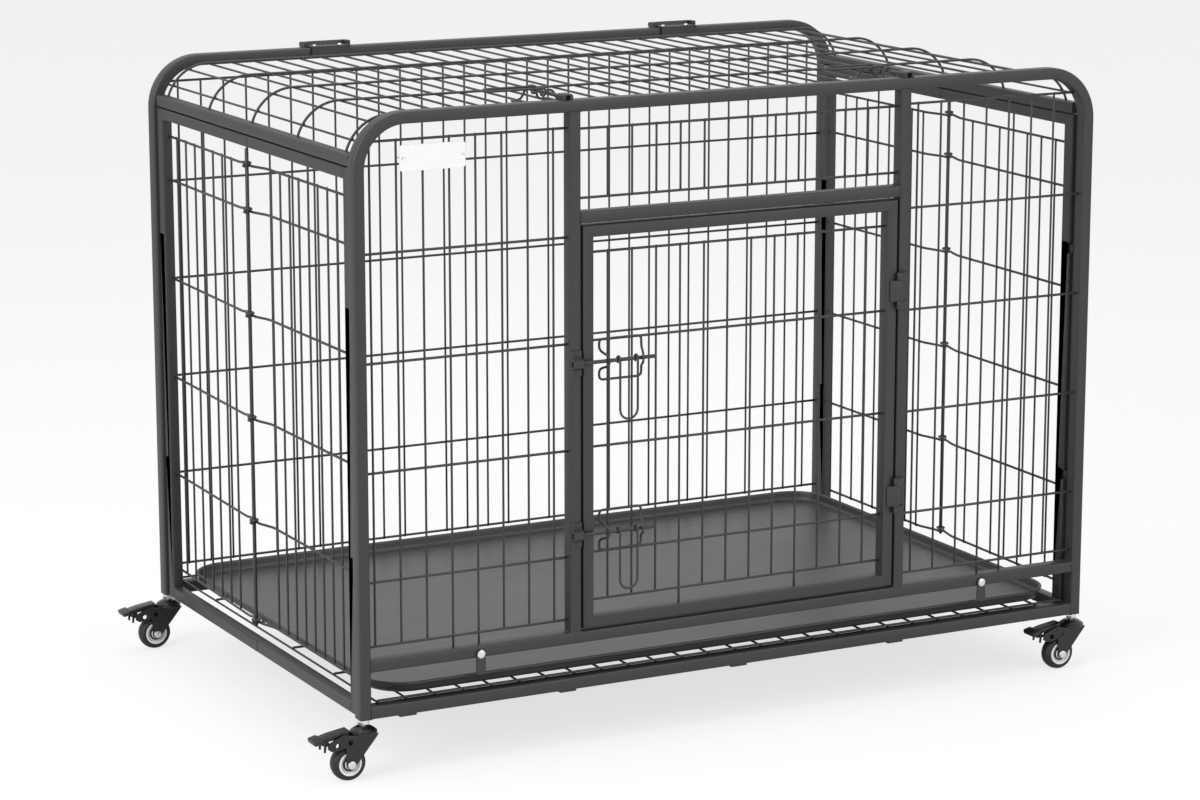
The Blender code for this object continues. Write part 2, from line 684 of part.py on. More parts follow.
def guide_loop():
    """A closed wire loop, pinched where a bolt passes under it, as (along, across, out) places.

    Out is 0 where the loop lies on the grid and 1 where it stands clear over the bolt.
    """
    half, top, bend = GUIDE_W / 2, GUIDE_H / 2, GUIDE_BEND
    right = [(half - bend, top, 0), (half, top - bend, 0), (half, bend * 2, 0),
             (half - GUIDE_PINCH, bend, 1), (half - GUIDE_PINCH, -bend, 1), (half, -bend * 2, 0),
             (half, bend - top, 0), (half - bend, -top, 0)]
    return right + [(-x, -z, out) for x, z, out in right]


def make_door():
    outline = box_outline(DOOR_LEFT, DOOR_BOTTOM, DOOR_RIGHT, DOOR_TOP)
    inner = (DOOR_LEFT + TUBE_W, DOOR_BOTTOM + TUBE_W, DOOR_RIGHT - TUBE_W, DOOR_TOP - TUBE_W)
    body = plate("xz", [outline, box_outline(*inner)], -HALF_D, -INNER_Y)
    lugs = []
    for level in DOOR_HINGE_LEVELS:
        reach = DOOR_HINGE_H / 2 - DOOR_LUG_H - SEAT
        lugs.append(door_lug(-1, level - reach, level + reach))
    frame = finished("door_frame", boolean(body, joined(lugs), "UNION"), "frame")
    left, right = inner[0] + SEAT, inner[2] - SEAT
    levels = [(z, left, right) for z in DOOR_LEVELS]
    uprights = []
    for i, x in enumerate(centred(left, right, SMALL_PITCH, DOOR_MARGIN)):
        foot = inner[1] + SEAT if i in DOOR_LONG_BARS else DOOR_LEVELS[-1] - UPRIGHT_R
        uprights.append((x, foot, DOOR_LEVELS[0] + UPRIGHT_R))
    mesh = grid(levels, uprights, front_place)
    y_front = BOLT_Y - BOLT_R - RUN_GAP - WIRE_R
    loops = []
    for level in BOLT_LEVELS:
        path = [(GUIDE_X + x, y_front if out else -FRAME_Y, level + z) for x, z, out in guide_loop()]
        loops.append(wires([path], WIRE_R, closed=True))
    mesh = finished("door_mesh", boolean(mesh, joined(loops), "UNION"), "wire")
    return [frame, mesh]


def handle_path():
    """A hanging U of wire with an eye at each end, round a bolt at the origin that runs along the
    first axis. Returns (along, out, down) points."""
    hook = arc(0, 0, EYE_R, -60, 180, 7)
    near = [(-HANDLE_W / 2, u, v) for u, v in hook]
    bow = [(x, -EYE_R, y - HANDLE_DROP + HANDLE_W / 2)
           for x, y in arc(0, 0, HANDLE_W / 2, 180, 360, 6)]
    far = [(HANDLE_W / 2, u, v) for _, u, v in reversed(near)]
    return near + bow + far


def make_bolts():
    """The door's two slide bolts and the lid's two, each with its hanging handle."""
    pieces = []
    handle_x = GUIDE_X - GUIDE_W / 2 + GUIDE_PINCH + HANDLE_INSET + HANDLE_W / 2
    for name, level in zip(("lower", "upper"), BOLT_LEVELS):
        bolt = rod((BOLT_TIP_X, BOLT_Y, level), (BOLT_TIP_X + BOLT_L, BOLT_Y, level), BOLT_R, 10)
        pieces.append(finished(f"door_bolt_{name}", bolt, "wire", True))
        path = [(handle_x + a, BOLT_Y + u, level + v) for a, u, v in handle_path()]
        pieces.append(finished(f"door_handle_{name}", wires([path], HANDLE_R), "wire"))
    for name, x in zip(("left", "right"), LID_BOLT_X):
        tail = LID_BOLT_TIP_Y + BOLT_L
        bolt = rod((x, LID_BOLT_TIP_Y, LID_BOLT_Z), (x, tail, LID_BOLT_Z), BOLT_R, 10)
        pieces.append(finished(f"lid_bolt_{name}", bolt, "wire", True))
        middle = LID_GUIDE_Y + handle_x - GUIDE_X
        path = [(x + v, middle + a, LID_BOLT_Z - u) for a, u, v in handle_path()]
        pieces.append(finished(f"lid_handle_{name}", wires([path], HANDLE_R), "wire"))
    return pieces


def half_outline():
    """One half panel seen from the end: stile, top rail and bottom rail, notched for its hinges.

    First value runs from the crate's middle to the frame, second is height.
    """
    front, back = STILE_FRONT, STILE_FRONT - STILE_D
    middle = MID_GAP
    notch = PIVOT_Y - HINGE_R - MID_GAP
    points = [(middle, LEG_FOOT), (front, LEG_FOOT)]
    for level in HINGE_LEVELS:
        low, high = level - HINGE_H / 2, level + HINGE_H / 2
        points += [(front, low), (notch, low), (notch, high), (front, high)]
    points += [(front, PANEL_TOP), (middle, PANEL_TOP), (middle, PANEL_TOP - PANEL_RAIL_H),
               (back, PANEL_TOP - PANEL_RAIL_H), (back, BOTTOM_RAIL_TOP), (middle, BOTTOM_RAIL_TOP)]
    return points


def half_grid(cranked):
    """Wires of one half panel at the right-hand back corner, straight or cranked out to the rod."""
    stile = STILE_FRONT - STILE_D - SEAT
    rod_side = ROD_R + SEAT + WIRE_R
    slope = 0.0 if cranked else (ROD_X - END_WIRE_X) / (stile - rod_side)
    level_paths, upright_paths = [], []
    mids = END_LEVELS[1:-1]
    for z in END_LEVELS:
        step = -LIFT if z in mids else 0.0
        if cranked:
            path = [(END_WIRE_X - step, stile, z), (END_WIRE_X - step, rod_side + CRANK_RUN, z),
                    (ROD_X, rod_side, z)]
        else:
            path = [(END_WIRE_X - step, stile, z), (ROD_X - step - slope * CRANK_RUN, rod_side + CRANK_RUN, z),
                    (ROD_X - step, rod_side, z + EYE_LIFT)]
        level_paths.append(path)
    pitch, end = STRAIGHT_PITCH, rod_side + STRAIGHT_MARGIN
    if cranked:
        pitch, end = CRANKED_PITCH, rod_side + CRANK_RUN + CRANKED_MARGIN
    count = int((stile - FIRST_BAR - end) / pitch) + 1
    for i in range(count):
        y = stile - FIRST_BAR - pitch * i
        outer = i in (0, count - 1)
        depth = WIRE_LAYER - LIFT / 2 if outer else WIRE_LAYER
        x = END_WIRE_X - depth + slope * (stile - y)
        long_bar = i == count // 2
        top = PANEL_TOP - PANEL_RAIL_H - SEAT if long_bar else END_LEVELS[0] + UPRIGHT_R
        upright_paths.append([(x, y, END_LEVELS[-1] - UPRIGHT_R), (x, y, top)])
    return boolean(wires(level_paths, WIRE_R), wires(upright_paths, UPRIGHT_R), "UNION")


def make_end_panels():
    """Both ends: the cranked grids sit at the left front and right back, a half turn apart."""
    right_back = plate("yz", [half_outline()], PANEL_IN, PANEL_OUT)
    right_front = mirrored(right_back, "Y")
    cranked, straight = half_grid(True), half_grid(False)
    pieces = [
        finished("right_back_panel_frame", right_back, "frame"),
        finished("right_front_panel_frame", right_front, "frame"),
        finished("left_front_panel_frame", half_turned(right_back), "frame"),
        finished("left_back_panel_frame", half_turned(right_front), "frame"),
        finished("right_back_panel_mesh", cranked, "wire"),
        finished("left_front_panel_mesh", half_turned(cranked), "wire"),
        finished("right_front_panel_mesh", mirrored(straight, "Y"), "wire"),
        finished("left_back_panel_mesh", mirrored(straight, "X"), "wire"),
    ]
    for name, side in (("left_fold_rod", -1), ("right_fold_rod", 1)):
        low, high = END_LEVELS[-1] - WIRE_R, PANEL_TOP - PANEL_RAIL_H - SEAT
        pieces.append(finished(name, rod((side * ROD_X, 0, low), (side * ROD_X, 0, high), ROD_R, 12),
                               "wire", True))
    return pieces


def lid_arc_point(angle, side, y, drop=0.0):
    """A point on the lid's bent end: angle 0 is the flat top, 90 is upright."""
    a = math.radians(angle)
    r = LID_BEND_R - drop
    return (side * (LID_ARC_X + r * math.sin(a)), y, LID_WIRE_Z - LID_BEND_R + r * math.cos(a))


def make_lid():
    pieces = []
    y_end = INNER_Y - LID_END_GAP
    for name, side in (("left", -1), ("right", 1)):
        x0, x1 = sorted((side * PANEL_IN, side * PANEL_OUT))
        outline = box_outline(x0, -y_end, x1, y_end)
        mesh = plate("xy", [outline], LID_RAIL_Z, LID_RAIL_Z + LID_RAIL_H)
        pieces.append(finished(f"lid_rail_{name}", mesh, "frame"))
    foot = LID_RAIL_Z + LID_RAIL_H + LID_FOOT_GAP
    last = math.degrees(math.acos((foot - LID_WIRE_Z + LID_BEND_R) / LID_BEND_R))
    steps = 6
    long_paths = []
    for i, y in enumerate(LID_LONG_WIRES):
        drop = 0.0 if i in (0, len(LID_LONG_WIRES) - 1) else -LIFT
        left = [lid_arc_point(last * (steps - i) / steps, -1, y, drop) for i in range(steps + 1)]
        right = [lid_arc_point(last * i / steps, 1, y, drop) for i in range(steps + 1)]
        long_paths.append(left + right)
    y_cross = INNER_Y - LID_END_GAP
    cross_paths = []
    around = LID_ARC_X + LID_BEND_R * math.radians(last)
    outermost = int((around - LID_CROSS_MARGIN) / LID_CROSS_PITCH)
    for i in range(-outermost, outermost + 1):
        side = -1 if i < 0 else 1
        drop = WIRE_LAYER - LIFT / 2 if abs(i) == outermost else WIRE_LAYER
        along = abs(i) * LID_CROSS_PITCH
        if along <= LID_ARC_X:
            x, _, z = side * along, 0, LID_WIRE_Z - drop
        else:
            x, _, z = lid_arc_point(math.degrees((along - LID_ARC_X) / LID_BEND_R), side, 0, drop)
        cross_paths.append([(x, -y_cross, z), (x, y_cross, z)])
    mesh = boolean(wires(long_paths, WIRE_R), wires(cross_paths, UPRIGHT_R), "UNION")
    loops = []
    for x in LID_BOLT_X:
        path = [(x - across, LID_GUIDE_Y + along, LID_BOLT_Z + BOLT_R + RUN_GAP + WIRE_R if out
                 else LID_WIRE_Z - WIRE_LAYER) for along, across, out in guide_loop()]
        loops.append(wires([path], WIRE_R, closed=True))
    mesh = boolean(mesh, joined(loops), "UNION")
    pieces.append(finished("lid_mesh", mesh, "wire"))
    axis_y, axis_z = LID_AXIS
    for name, side in (("left", -1), ("right", 1)):
        low, high = FRAME_TOP + SEAT, FRAME_TOP + SEAT + LEAF_T
        lip = INNER_Y - LID_END_GAP + SEAT
        knuckle = arc(axis_y, axis_z, KNUCKLE_R, -150, 120)
        outline = ([(lip, LID_WIRE_Z - 2 * UPRIGHT_R), (lip + LEAF_T, LID_WIRE_Z - 2 * UPRIGHT_R),
                    (lip + LEAF_T, low)] + knuckle + [(axis_y - KNUCKLE_R, high), (lip, high)])
        hole = ring_of(axis_y, axis_z, HINGE_PIN_R + SEAT)
        x0 = side * LID_HINGE_X - LEAF_W / 2
        leaf = plate("yz", [outline, hole], x0, x0 + LEAF_W)
        pieces.append(finished(f"lid_leaf_{name}", leaf, "frame"))
        pin = rod((x0 + SEAT, axis_y, axis_z), (x0 + LEAF_W - SEAT, axis_y, axis_z), HINGE_PIN_R, 12)
        pieces.append(finished(f"lid_hinge_pin_{name}", pin, "bright", True))
    return pieces


def make_door_pins():
    pieces = []
    for name, level in zip(("lower", "upper"), DOOR_HINGE_LEVELS):
        half = DOOR_HINGE_H / 2
        pin = rod((*DOOR_AXIS, level - half), (*DOOR_AXIS, level + half), DOOR_PIN_R, 12)
        pieces.append(finished(f"door_hinge_pin_{name}", pin, "frame", True))
    return pieces


def tray_outline(half_length, front, back, radius):
    """A rectangle with rounded corners, anticlockwise."""
    x = half_length - radius
    return (arc(x, -front + radius, radius, -90, 0) + arc(x, back - radius, radius, 0, 90)
            + arc(-x, back - radius, radius, 90, 180) + arc(-x, -front + radius, radius, 180, 270))


def make_tray():
    """A pan with an outward rim: an open sheet with Solidify."""
    wall = (TRAY_HALF_L - TRAY_RIM, TRAY_FRONT - TRAY_RIM, TRAY_BACK - TRAY_RIM, TRAY_CORNER_R - TRAY_RIM)
    inner = tray_outline(*wall)
    outer = tray_outline(TRAY_HALF_L, TRAY_FRONT, TRAY_BACK, TRAY_CORNER_R)
    rim_z = TRAY_Z + TRAY_H - TRAY_SHEET
    shape = bmesh.new()
    rings = [[shape.verts.new((x, y, z)) for x, y in ring]
             for ring, z in ((inner, TRAY_Z), (inner, rim_z), (outer, rim_z))]
    shape.faces.new(list(reversed(rings[0])))
    count = len(inner)
    for low, high in zip(rings, rings[1:]):
        for i in range(count):
            j = (i + 1) % count
            shape.faces.new((low[i], low[j], high[j], high[i]))
    mesh = bpy.data.meshes.new("tray")
    shape.to_mesh(mesh)
    shape.free()
    obj = add_object("sheet", mesh)
    solid = obj.modifiers.new("sheet", "SOLIDIFY")
    solid.thickness = TRAY_SHEET
    solid.offset = -1
    solid.use_even_offset = True
    return finished("tray", evaluated_mesh(obj), "tray")


def make_floor_grid():
    """Long wires over cross bars; its outer edges rest on the bottom rails."""
    long_paths, cross_paths = [], []
    last = GRID_LONG_BARS - 1
    along = even(-FRAME_Y, 2 * FRAME_Y / last, GRID_LONG_BARS)
    for i, y in enumerate(along):
        z = GRID_Z + WIRE_LAYER if i in (0, last) else GRID_Z + CLEAR_LAYER
        long_paths.append([(-GRID_HALF_L, y, z), (GRID_HALF_L, y, z)])
    pitch = 2 * (GRID_HALF_L - WIRE_R) / (GRID_BARS - 1)
    for i in range(GRID_BARS):
        x = -GRID_HALF_L + WIRE_R + pitch * i
        lift = LIFT / 2 if i in (0, GRID_BARS - 1) else 0.0
        cross_paths.append([(x, along[0] - WIRE_R, GRID_Z + lift), (x, along[-1] + WIRE_R, GRID_Z + lift)])
    mesh = boolean(wires(long_paths, WIRE_R), wires(cross_paths, UPRIGHT_R), "UNION")
    return finished("floor_grid", mesh, "wire")


def make_caster(corner, side, facing):
    """Fork, tyre, hub, axle and brake pedal of one caster, trailing towards -X."""
    x, y = side * STEM_X, facing * FRAME_Y
    axle_x = x - TRAIL
    head_top = HEAD_Z + HEAD_H
    head = turned([(STEM_R, head_top), (HEAD_R - HEAD_EDGE, head_top), (HEAD_R, head_top - HEAD_EDGE),
                   (HEAD_R, HEAD_Z), (STEM_R, HEAD_Z)], (x, y, 0))
    back = x - TRAIL - BOSS_R
    outline = arc(axle_x, AXLE_Z, BOSS_R, 180, 325, 6)
    outline += [(x + HEAD_R - BITE, HEAD_Z), (x + HEAD_R - BITE, HEAD_Z + BITE), (x - HEAD_R, HEAD_Z + BITE)]
    outline += [(x + across, height) for across, height in CHEEK_REAR] + [(back, NECK_Z)]
    holes = [ring_of(axle_x, AXLE_Z, AXLE_R + SEAT, 8)]
    holes += [ring_of(x + across, height, SIGHT_R, 8) for across, height in SIGHT_HOLES]
    cheeks = []
    for hand in (-1, 1):
        low, high = sorted((hand * CHEEK_IN, hand * CHEEK_OUT))
        cheeks.append(plate("xz", [outline] + holes, y + low, y + high))
    pivot = (x + PEDAL_PIVOT[0], PEDAL_PIVOT[1])
    reach = CHEEK_IN + BITE
    pin = rod((pivot[0], y - reach, pivot[1]), (pivot[0], y + reach, pivot[1]), PEDAL_PIN_R, 8)
    fork = boolean(head, joined(cheeks), "UNION")
    fork = boolean(fork, pin, "UNION")
    pieces = [finished(f"{corner}_caster_fork", fork, "fork", True)]
    half, tread = TYRE_W / 2, WHEEL_R - TREAD_DROP
    tyre = [(HUB_R, half), (WHEEL_R - TYRE_EDGE, half), (tread, half - TREAD_EDGE), (WHEEL_R, 0),
            (tread, TREAD_EDGE - half), (WHEEL_R - TYRE_EDGE, -half), (HUB_R, -half)]
    at = (axle_x, y, AXLE_Z)
    pieces.append(finished(f"{corner}_caster_tyre", turned(tyre, at, "Y", 16), "rubber", True))
    bore, face = AXLE_R + SEAT, half + HUB_FACE
    rim, dish = HUB_R - SEAT, half - HUB_WEB
    inner, edge = (HUB_BOSS_R + HUB_TAPER, dish), (rim - HUB_WEB, half - HUB_RIM_DROP)
    hub = [(bore, face), (HUB_BOSS_R, face), inner, edge, (rim, half), (rim, -half), (edge[0], -edge[1]),
           (inner[0], -inner[1]), (HUB_BOSS_R, -face), (bore, -face)]
    pieces.append(finished(f"{corner}_caster_hub", turned(hub, at, "Y", 16), "hub", True))
    nut_in, nut_out = CHEEK_OUT + SEAT, CHEEK_OUT + SEAT + AXLE_NUT_H
    axle = [(0, nut_out), (AXLE_NUT_R, nut_out), (AXLE_NUT_R, nut_in), (AXLE_R, nut_in),
            (AXLE_R, -nut_in), (AXLE_NUT_R, -nut_in), (AXLE_NUT_R, -nut_out), (0, -nut_out)]
    pieces.append(finished(f"{corner}_caster_axle", turned(axle, at, "Y", 10), "bright", True))
    pieces.append(make_pedal(corner, x, y, pivot))
    return pieces


def make_pedal(corner, x, y, pivot):
    """A bent foot lever with a wide tip, on the fork's cross pin."""
    px, pz = pivot
    tip_x, root_x, root_z = x - PEDAL_REACH, x + PEDAL_ROOT[0], PEDAL_ROOT[1]
    under = PEDAL_TIP_Z - PEDAL_T
    outline = [(root_x, root_z), (tip_x, PEDAL_TIP_Z), (tip_x, under),
               (tip_x + PEDAL_NECK[0], under + PEDAL_NECK[1])]
    outline += [(x + across, height) for across, height in PEDAL_BACK]
    outline += arc(px, pz, PEDAL_EYE_R, 190, 330, 6)
    hole = ring_of(px, pz, PEDAL_PIN_R + SEAT, 8)
    half = CHEEK_IN - PEDAL_SIDE_GAP
    lever = plate("xz", [outline, hole], y - half, y + half)
    pad = box_outline(tip_x - BITE, under - BITE, tip_x - BITE + PAD_L, PEDAL_TIP_Z + PEDAL_T)
    pad = plate("xz", [pad], y - half - PAD_SIDE, y + half + PAD_SIDE)
    return finished(f"{corner}_caster_pedal", boolean(lever, pad, "UNION"), "fork")


def pivots():
    """Where each moving piece turns or slides from: a point on its joint's axis."""
    places = {"tray": (0, -TRAY_FRONT, TRAY_Z)}
    places["back_frame"] = places["back_mesh"] = (-PANEL_X, PIVOT_Y, 0)
    for name, side in (("left", -1), ("right", 1)):
        front, back = (side * PANEL_X, -PIVOT_Y, 0), (side * ROD_X, 0, 0)
        places[f"tray_latch_{name}"] = (side * LATCH_X, LATCH_Y, LATCH_Z)
        places[f"{name}_front_panel_frame"] = places[f"{name}_front_panel_mesh"] = front
        places[f"{name}_fold_rod"] = front
        places[f"{name}_back_panel_frame"] = places[f"{name}_back_panel_mesh"] = back
        for piece in ("lid_rail", "lid_leaf", "lid_hinge_pin"):
            places[f"{piece}_{name}"] = (0, *LID_AXIS)
    places["lid_mesh"] = (0, *LID_AXIS)
    places["door_frame"] = places["door_mesh"] = (*DOOR_AXIS, 0)
    for name, level in zip(("lower", "upper"), BOLT_LEVELS):
        places[f"door_bolt_{name}"] = places[f"door_handle_{name}"] = (BOLT_TIP_X, BOLT_Y, level)
    for name, x in zip(("left", "right"), LID_BOLT_X):
        places[f"lid_bolt_{name}"] = places[f"lid_handle_{name}"] = (x, LID_BOLT_TIP_Y, LID_BOLT_Z)
    for facing, row in ((-1, "front"), (1, "back")):
        for side, end in ((-1, "left"), (1, "right")):
            x, y, corner = side * STEM_X, facing * FRAME_Y, f"{row}_{end}_caster"
            places[f"{corner}_fork"] = places[f"{corner}_axle"] = (x, y, HEAD_Z)
            places[f"{corner}_tyre"] = places[f"{corner}_hub"] = (x - TRAIL, y, AXLE_Z)
            places[f"{corner}_pedal"] = (x + PEDAL_PIVOT[0], y, PEDAL_PIVOT[1])
    return places


def set_origin(obj, place):
    """Moves an object's origin to a point of the crate without moving its shape."""
    obj.data.transform(Matrix.Translation([-value for value in place]))
    obj.location = place


def stand_on_origin():
    """Moves the crate as one, so that the origin is under the middle of its bounding box."""
    points = [obj.location + vertex.co for obj in CRATE.objects for vertex in obj.data.vertices]
    low = Vector([min(point[i] for point in points) for i in range(3)])
    high = Vector([max(point[i] for point in points) for i in range(3)])
    middle = (low + high) / 2
    for obj in CRATE.objects:
        obj.location -= Vector((middle.x, middle.y, low.z))


def main():
    make_front_frame()
    make_front_meshes()
    make_floor_grid()
    make_back_frame()
    make_back_mesh()
    make_door()
    make_door_pins()
    make_bolts()
    make_end_panels()
    make_lid()
    make_tray()
    for name, side in (("left", -1), ("right", 1)):
        make_tray_latch(f"tray_latch_{name}", side)
    for facing, row in ((-1, "front"), (1, "back")):
        for side, end in ((-1, "left"), (1, "right")):
            make_caster(f"{row}_{end}", side, facing)
    for name, place in pivots().items():
        set_origin(bpy.data.objects[name], place)
    stand_on_origin()


main()
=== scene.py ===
"""Looks for a folding wire dog crate on casters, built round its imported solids.

Each sub-assembly is a class. It makes skins of points and faces as whole arrays in the crate's own
frame, whose middle is midway along the tube frame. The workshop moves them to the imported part's frame
and makes one Blender object of each piece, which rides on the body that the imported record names.
"""

import logging
import math
from collections.abc import Callable
from dataclasses import dataclass
from enum import Enum

import bmesh
import bpy
import numpy as np
from mathutils import Matrix, Vector
from mathutils.geometry import tessellate_polygon


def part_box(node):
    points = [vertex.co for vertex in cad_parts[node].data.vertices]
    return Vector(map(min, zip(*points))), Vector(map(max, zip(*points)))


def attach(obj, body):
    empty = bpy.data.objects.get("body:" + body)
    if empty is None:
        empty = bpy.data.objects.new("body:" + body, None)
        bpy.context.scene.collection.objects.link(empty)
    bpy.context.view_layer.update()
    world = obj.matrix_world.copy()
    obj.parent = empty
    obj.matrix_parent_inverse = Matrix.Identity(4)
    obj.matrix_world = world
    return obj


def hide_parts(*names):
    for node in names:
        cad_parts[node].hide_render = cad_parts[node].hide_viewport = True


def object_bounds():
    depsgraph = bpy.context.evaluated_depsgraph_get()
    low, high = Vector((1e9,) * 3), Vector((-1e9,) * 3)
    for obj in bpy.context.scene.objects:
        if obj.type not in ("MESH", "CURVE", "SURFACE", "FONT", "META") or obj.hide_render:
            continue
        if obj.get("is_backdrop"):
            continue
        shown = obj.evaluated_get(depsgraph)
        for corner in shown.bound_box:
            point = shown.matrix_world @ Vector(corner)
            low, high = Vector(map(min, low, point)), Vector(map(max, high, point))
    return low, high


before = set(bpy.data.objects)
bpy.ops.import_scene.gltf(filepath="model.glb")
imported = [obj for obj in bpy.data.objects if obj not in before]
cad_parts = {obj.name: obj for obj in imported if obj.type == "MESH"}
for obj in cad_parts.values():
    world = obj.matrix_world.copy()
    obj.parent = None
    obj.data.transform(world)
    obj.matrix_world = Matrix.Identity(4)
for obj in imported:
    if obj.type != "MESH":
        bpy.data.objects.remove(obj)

logging.basicConfig(level=logging.INFO, format="%(message)s")
log = logging.getLogger("crate")

SIDES = (("left", -1), ("right", 1))
HEIGHTS = ("lower", "upper")
NO_POINT = -1
ACROSS = (0, 1, 0)
TUBE_LAP = 0.0012  # how far a tube's end is let into the tube that it meets
WIRE_LAP = 0.0006  # the same for a wire's end
TAIL = 0.0016  # how far an upright wire goes past its outermost level wire
WELD = (0.0021, 0.0021, 0.0021)  # the radii of the swell where two wires cross


def unit(vectors: np.ndarray) -> np.ndarray:
    """Vectors scaled to length one along their last axis."""
    return vectors / np.maximum(np.linalg.norm(vectors, axis=-1, keepdims=True), 1e-12)


@dataclass
class Skin:
    """Points, and faces of three or four point numbers. A triangle's last number is NO_POINT."""

    points: np.ndarray
    faces: np.ndarray

    def turned(self, matrix: Matrix) -> "Skin":
        """The skin moved by a matrix.

        Args:
            matrix: a 4 by 4 place or turn.

        Returns:
            A new skin.
        """
        grid = np.array(matrix)
        return Skin(self.points @ grid[:3, :3].T + grid[:3, 3], self.faces)

    def scaled(self, sx: float, sy: float, sz: float) -> "Skin":
        """The skin scaled about the crate's middle, as a mirror where a factor is negative."""
        return Skin(self.points * np.array([sx, sy, sz]), self.faces)


def merged(skins: list[Skin]) -> Skin:
    """One skin that holds several.

    Args:
        skins: the skins to put together.

    Returns:
        Their points in turn, and their faces with the point numbers moved on to match.
    """
    points, faces, first = [], [], 0
    for skin in skins:
        points.append(skin.points)
        faces.append(np.where(skin.faces == NO_POINT, NO_POINT, skin.faces + first))
        first += len(skin.points)
    return Skin(np.concatenate(points), np.concatenate(faces))


def ring_skin(rings: np.ndarray, closed: bool = False, caps: bool = True) -> Skin:
    """A skin over rings of points.

    Args:
        rings: an array of shape (rings, points in a ring, 3).
        closed: whether the last ring joins the first.
        caps: whether each end gets a fan of triangles round its middle.

    Returns:
        Quads between neighbouring rings, with the caps.
    """
    rows, cols = rings.shape[:2]
    index = np.arange(rows * cols).reshape(rows, cols)
    here, after = (index, np.roll(index, -1, 0)) if closed else (index[:-1], index[1:])
    quads = np.stack([here, np.roll(here, -1, 1), np.roll(after, -1, 1), after], -1).reshape(-1, 4)
    points = rings.reshape(-1, 3)
    if closed or not caps:
        return Skin(points, quads)
    middles = np.stack([rings[0].mean(0), rings[-1].mean(0)])
    none = np.full(cols, NO_POINT)
    foot = np.stack([index[0], np.full(cols, rows * cols), np.roll(index[0], -1), none], -1)
    top = np.stack([index[-1], np.roll(index[-1], -1), np.full(cols, rows * cols + 1), none], -1)
    return Skin(np.concatenate([points, middles]), np.concatenate([quads, foot, top]))


def arc(cx: float, cy: float, radius: float, start: float, stop: float, steps: int = 8) -> list[tuple]:
    """Points along an arc, angles in degrees from the first axis towards the second."""
    angles = np.radians(np.linspace(start, stop, steps + 1))
    return [(cx + radius * math.cos(a), cy + radius * math.sin(a)) for a in angles]


def circle(cx: float, cy: float, radius: float, count: int = 24, start: float = 0) -> list[tuple]:
    """This many points all the way round, the first at the start's angle."""
    return arc(cx, cy, radius, start, start + 360 - 360 / count, count - 1)


def mirrored(half: list[tuple]) -> list[tuple]:
    """A profile's points the other way round, on the other side of its first axis."""
    return [(a, -b) for a, b in reversed(half)]


def rounded_section(width: float, depth: float, radius: float, steps: int = 3) -> np.ndarray:
    """A rectangle with rounded corners about the origin, anticlockwise, as an (n, 2) array."""
    x, y = width / 2 - radius, depth / 2 - radius
    corners = arc(x, y, radius, 0, 90, steps) + arc(-x, y, radius, 90, 180, steps)
    corners += arc(-x, -y, radius, 180, 270, steps) + arc(x, -y, radius, 270, 360, steps)
    return np.array(corners)


def headings(path: np.ndarray, closed: bool) -> tuple[np.ndarray, np.ndarray]:
    """For each point the direction to the next one, and halfway between that and the one before."""
    ahead = unit(np.roll(path, -1, 0) - path)
    if not closed:
        ahead[-1] = ahead[-2]
    behind = np.roll(ahead, 1, 0)
    if not closed:
        behind[0] = ahead[0]
    return ahead, unit(ahead + behind)


def swept(path: np.ndarray, section: np.ndarray, normal: tuple, closed: bool = False) -> Skin:
    """A section carried along a flat path.

    Each ring is path + a * side * stretch + b * normal. side is square to the path and the normal,
    and stretch is 1 / cos(half the bend), which keeps the width right where the path bends.

    Args:
        path: an (n, 3) array.
        section: an (m, 2) array of (a, b).
        normal: the direction square to the path's plane.
        closed: whether the path is a loop.

    Returns:
        The skin, capped where the path has ends.
    """
    path, normal = np.asarray(path, float), np.asarray(normal, float)
    ahead, tangent = headings(path, closed)
    side = unit(np.cross(normal, tangent))
    stretch = 1 / np.clip((tangent * ahead).sum(1, keepdims=True), 0.3, 1)
    across = (side * stretch)[:, None] * section[None, :, :1]
    return ring_skin(path[:, None] + across + section[None, :, 1:] * normal, closed)


def round_wire(path: np.ndarray, radius: float, sides: int = 10, closed: bool = False) -> Skin:
    """A round wire along any path, with softly domed ends.

    The ring frame is carried from point to point, less its part along the new direction, so it
    doesn't twist. At an open end the radius goes r * cos(t) while the place goes r * sin(t).

    Args:
        path: an (n, 3) array.
        radius: the wire's radius.
        sides: points round the wire.
        closed: whether the path is a loop.

    Returns:
        The skin.
    """
    path = np.asarray(path, float)
    radii = np.full(len(path), radius)
    if not closed:
        head, tail = unit(path[0] - path[1]), unit(path[-1] - path[-2])
        bend = np.radians([75.0, 45.0, 0.0])
        lead = path[0] + head * radius * (np.sin(bend)[:, None] - 1)
        trail = path[-1] + tail * radius * (np.sin(bend[::-1])[:, None] - 1)
        path = np.concatenate([lead, path[1:-1], trail])
        radii = np.concatenate([radius * np.cos(bend), radii[1:-1], radius * np.cos(bend[::-1])])
    tangent = headings(path, closed)[1]
    side = np.cross(tangent[0], [0, 0, 1] if abs(tangent[0][2]) < 0.9 else [1, 0, 0])
    sides_out = []
    for direction in tangent:
        side = unit(side - direction * (side @ direction))
        sides_out.append(side)
    side = np.array(sides_out)
    other = np.cross(tangent, side)
    angle = np.linspace(0, 2 * np.pi, sides, endpoint=False)
    ring = side[:, None] * np.cos(angle)[None, :, None] + other[:, None] * np.sin(angle)[None, :, None]
    return ring_skin(path[:, None] + ring * radii[:, None, None], closed)


def rod(start: tuple, end: tuple, radius: float, sides: int = 10) -> Skin:
    """A straight round wire between two points."""
    return round_wire(np.array([start, end]), radius, sides)


